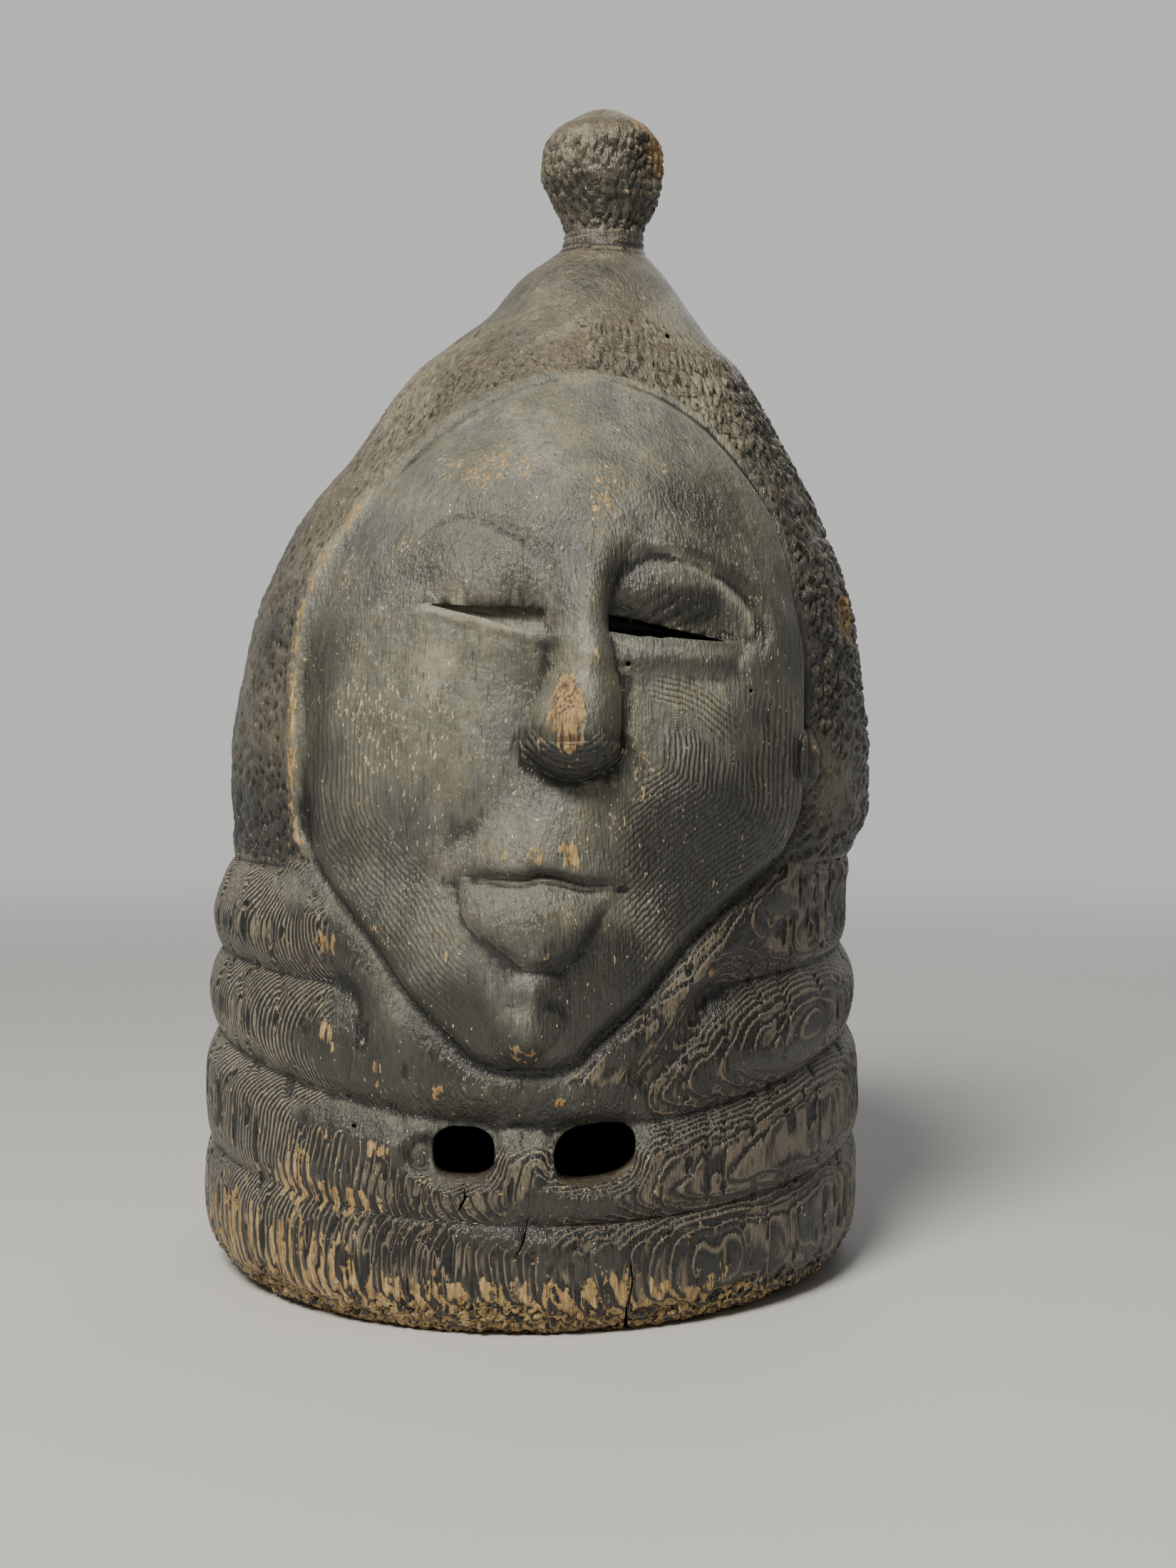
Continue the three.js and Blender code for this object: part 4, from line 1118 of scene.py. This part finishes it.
def dark_wood():
    """Blackened wood: a black skin under a dusty layer that holds painted light and shade,
    growth rings where the skin is worn thin, bare wood where it is worn away, and painted
    shade in the hollows."""
    material = bpy.data.materials.new("dark_wood")
    f = Nodes(material, "Principled BSDF")
    names = ("crease", "tooled", "gloss", "worn", "folded", "ring", "low", "flecked")
    crease, tooled, gloss, worn, folded, ring, low, flecked = [f.attribute(name) for name in names]
    blotch = f.noise(26, 32, 3) - 0.5
    smear = f.noise(8, 14, 3, 0.55) - 0.5
    crumb = f.noise(2.4, 3.2, 3, 0.6) - 0.5
    speck = f.noise(1.1, 1.4, 2) - 0.5
    fibre = f.noise(0.9, 12, 3, 0.6) - 0.5
    strip = f.noise(2.4, 22, 2, 0.6) - 0.5
    thin = f.ramp(f.attribute("thin") + 0.9 * strip + 0.5 * fibre + 0.6 * smear, 0.4, 0.62)
    turn = f.math("FRACT", ring + 0.8 * fibre)
    line = f.ramp(turn, 0.28, 0.56) * f.ramp(turn, 0.66, 0.94, 1, 0)
    line_tone = (line - 0.5) * thin
    fold = f.attribute("fold") + 5 * blotch + 3 * smear + 0.8 * fibre
    fold = f.math("SINE", 2 * math.pi / FOLD_STEP * fold) * folded * f.ramp(crumb + smear, -0.35, 0)

    # The dusty layer on the black skin, with painted light on upward faces and painted shade on the neck
    # and the right, and the pale rings where both are worn thin
    film_and_shading = f.attribute("dust_and_shading") + blotch + 0.6 * smear + crumb * (0.35 + 0.8 * tooled) + 0.3 * fibre
    film_and_shading = f.ramp(film_and_shading + 0.4 * line_tone + 0.16 * fold - 0.4 * gloss - 0.4 * worn, -0.05, 1.05)
    tint = f.ramp(f.noise(30, 38, 3, 0.6) + 0.4 * smear, 0.38, 0.56)
    brown = f.math("MULTIPLY", tooled, 1.2, clamp=True)
    film_colour = f.blend(brown, f.blend(tint, FILM_COOL, FILM), FILM_BROWN)
    colour = f.blend(film_and_shading, PATINA, film_colour)
    # Palest and dustiest where the layer is thickest, which is partly painted light on upward faces and
    # along the rim round the right eye's socket
    colour = f.blend(f.ramp(film_and_shading, 0.8, 1.2, 0, 0.8), colour, DUST)
    worn_thin = f.blend(line, SOOT_AND_SHADE, f.blend(film_and_shading, THIN_DARK, THIN))
    colour = f.blend(0.85 * thin, colour, worn_thin)

    # Painted shade in the hollows, and darker between the fibres and in the grooves
    colour = f.blend(0.85 * f.ramp(crease, 0.2, 1.1), colour, SOOT_AND_SHADE)
    colour = f.blend(0.45 * f.ramp(fibre, -0.08, -0.2), colour, SOOT_AND_SHADE)
    colour = f.blend(0.85 * f.ramp(fold, 0, -0.6), colour, SOOT_AND_SHADE)

    flake = f.noise(1.1, 2.9, 2.5, 0.6) + 0.1 * flecked + 0.3 * smear - 0.1 * tooled
    flake = f.ramp(flake, 0.705, 0.725)
    colour = f.blend(0.8 * flake, colour, FLECK)

    # Bare wood, in stripes along wide growth rings low on the neck
    wide_turn = f.math("FRACT", 0.45 * ring + 0.7 * strip)
    zebra = f.ramp(wide_turn, 0, 0.4) * f.ramp(wide_turn, 0.6, 1, 1, 0)
    zebra = (zebra - 0.5) * f.ramp(worn, 0.05, 0.4) * low
    colour = f.blend(f.ramp(zebra, -0.1, -0.4, 0, 0.8), colour, SOOT_AND_SHADE)
    bare = worn + strip + 0.5 * fibre + crumb * (0.9 + flecked + low) + 0.8 * zebra + 0.6 * smear
    bare = f.ramp(bare, 0.4, 0.5)
    shade = 0.6 * zebra + 1.8 * strip + 2.4 * fibre + 0.7 * crumb
    wood = f.blend(f.ramp(shade, -0.3, 0.2), EARTH, BARE)
    wood = f.blend(f.ramp(shade, 0.2, 0.8), wood, BARE_PALE)
    colour = f.blend(0.92 * bare, colour, wood)

    glint = f.ramp(f.noise(1, 1.8, 1) + 0.15 * smear - 0.03 * thin, 0.765, 0.79)
    glint = glint * f.ramp(crease, -0.1, 0.15, 1, 0)
    colour = f.blend(0.9 * glint, colour, GLINT)

    raw = f.blend(f.ramp(crumb, -0.2, 0.2), EARTH, FILM)
    f.shade("Base Color", f.blend(f.attribute("inside"), colour, raw))

    shine = 0.22 * gloss + 0.08 * tooled - 0.2 * (film_and_shading - 0.5)
    rough = 0.44 - 0.8 * shine + 0.3 * speck + 0.25 * bare
    f.shade("Specular IOR Level", 0.7)
    f.shade("Roughness", f.math("MAXIMUM", rough, LEAST_ROUGHNESS))

    height = 0.85 * fibre + 1.6 * smear + crumb * (0.8 + 0.4 * tooled - 0.6 * gloss)
    height = height + speck * (0.2 - 0.2 * gloss) + 0.3 * line_tone + 0.14 * fold
    f.bump(height + strip * bare + 0.6 * (zebra * bare) + 0.1 * flake)
    return material


# Camera: a photograph taken from 0.8 m in front, at the height of the nose
CAMERA_PLACE = (20.1, -800, 195.3)
CAMERA_PITCH = 2.3
CAMERA_LENS = 52
CAMERA_SENSOR = 36


def camera():
    data = bpy.data.cameras.new("camera")
    data.sensor_fit = "VERTICAL"
    data.sensor_height = CAMERA_SENSOR
    data.lens = CAMERA_LENS
    piece = new_piece("camera", data)
    x, y, z = CAMERA_PLACE
    piece.location = ((x + AXIS_X) * MM, (y + AXIS_Y) * MM, z * MM)
    piece.rotation_euler = (math.radians(90 - CAMERA_PITCH), 0, 0)
    bpy.context.scene.camera = piece


def area_light(name, place, aim, size, power, colour):
    data = bpy.data.lights.new(name, "AREA")
    data.shape = "DISK"
    data.size = size
    data.energy = power
    data.color = colour
    piece = new_piece(name, data)
    piece.location = place
    piece.rotation_euler = (Vector(aim) - Vector(place)).to_track_quat("-Z", "Y").to_euler()


def disc(name, radius, steps=96):
    rim = round_outline(0, 0, radius, radius, steps)
    mesh = bpy.data.meshes.new(name)
    mesh.from_pydata([(x, y, 0) for x, y in rim], [], [range(steps)])
    return new_piece(name, mesh)


# How bright the studio is low down behind the mask, low down elsewhere, and overhead
BACKDROP_BRIGHT = 0.62
ROOM_BRIGHT = 0.12
OVERHEAD_BRIGHT = 0.1
BACKDROP_COLOUR = (1, 0.995, 0.985, 1)
# The backdrop grows bright between these parts of the way to straight behind the mask, and
# the overhead light sets in between these parts of the way up
BEHIND_BAND = (0.2, 0.8)
OVERHEAD_BAND = (0.25, 0.85)
# The floor fades into the backdrop between these distances from the mask, in metres
FLOOR_FADES = (0.5, 1.9)
FLOOR_RADIUS = 2
FLOOR_COLOUR = (0.64, 0.632, 0.615, 1)
# Lights: place, what they aim at, size, power and colour
LIGHT_AIM = (0, 0, 0.2)
KEY = ((-0.5, -1.2, 1.5), LIGHT_AIM, 0.7, 47, (1, 0.975, 0.9))
FROM_BEHIND = ((0.5, 1.8, 1.3), LIGHT_AIM, 1.2, 6, (1, 1, 1))


def floor():
    piece = disc("floor", FLOOR_RADIUS)
    material = bpy.data.materials.new("floor")
    f = Nodes(material, "Principled BSDF")
    f.shade("Base Color", FLOOR_COLOUR)
    f.shade("Roughness", 0.75)
    length = f.node("VectorMath", {0: f.node("TexCoord", {}, "Object")}, "Value", operation="LENGTH")
    f.shade("Alpha", f.ramp(length, *FLOOR_FADES, 1, 0))
    piece.data.materials.append(material)


def backdrop():
    """A plain pale surround, brightest behind the mask, the same above and below the horizon."""
    world = bpy.data.worlds.new("studio")
    f = Nodes(world, "Background")
    direction = f.node("TexCoord", {}, "Generated")
    behind, up = [f.node("SeparateXYZ", {0: direction}, axis) for axis in "YZ"]
    low = f.ramp(behind, *BEHIND_BAND, ROOM_BRIGHT, BACKDROP_BRIGHT)
    high = f.ramp(up, *OVERHEAD_BAND)
    f.shade("Color", BACKDROP_COLOUR)
    f.shade("Strength", low * (1 - high) + OVERHEAD_BRIGHT * high)
    bpy.context.scene.world = world


def studio():
    floor()
    backdrop()
    area_light("key", *KEY)
    area_light("back", *FROM_BEHIND)


camera()
studio()

mask = helmet_mask()
mask.data.materials.clear()
mask.data.materials.append(dark_wood())
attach(mask, "root")
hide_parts("helmet_mask")
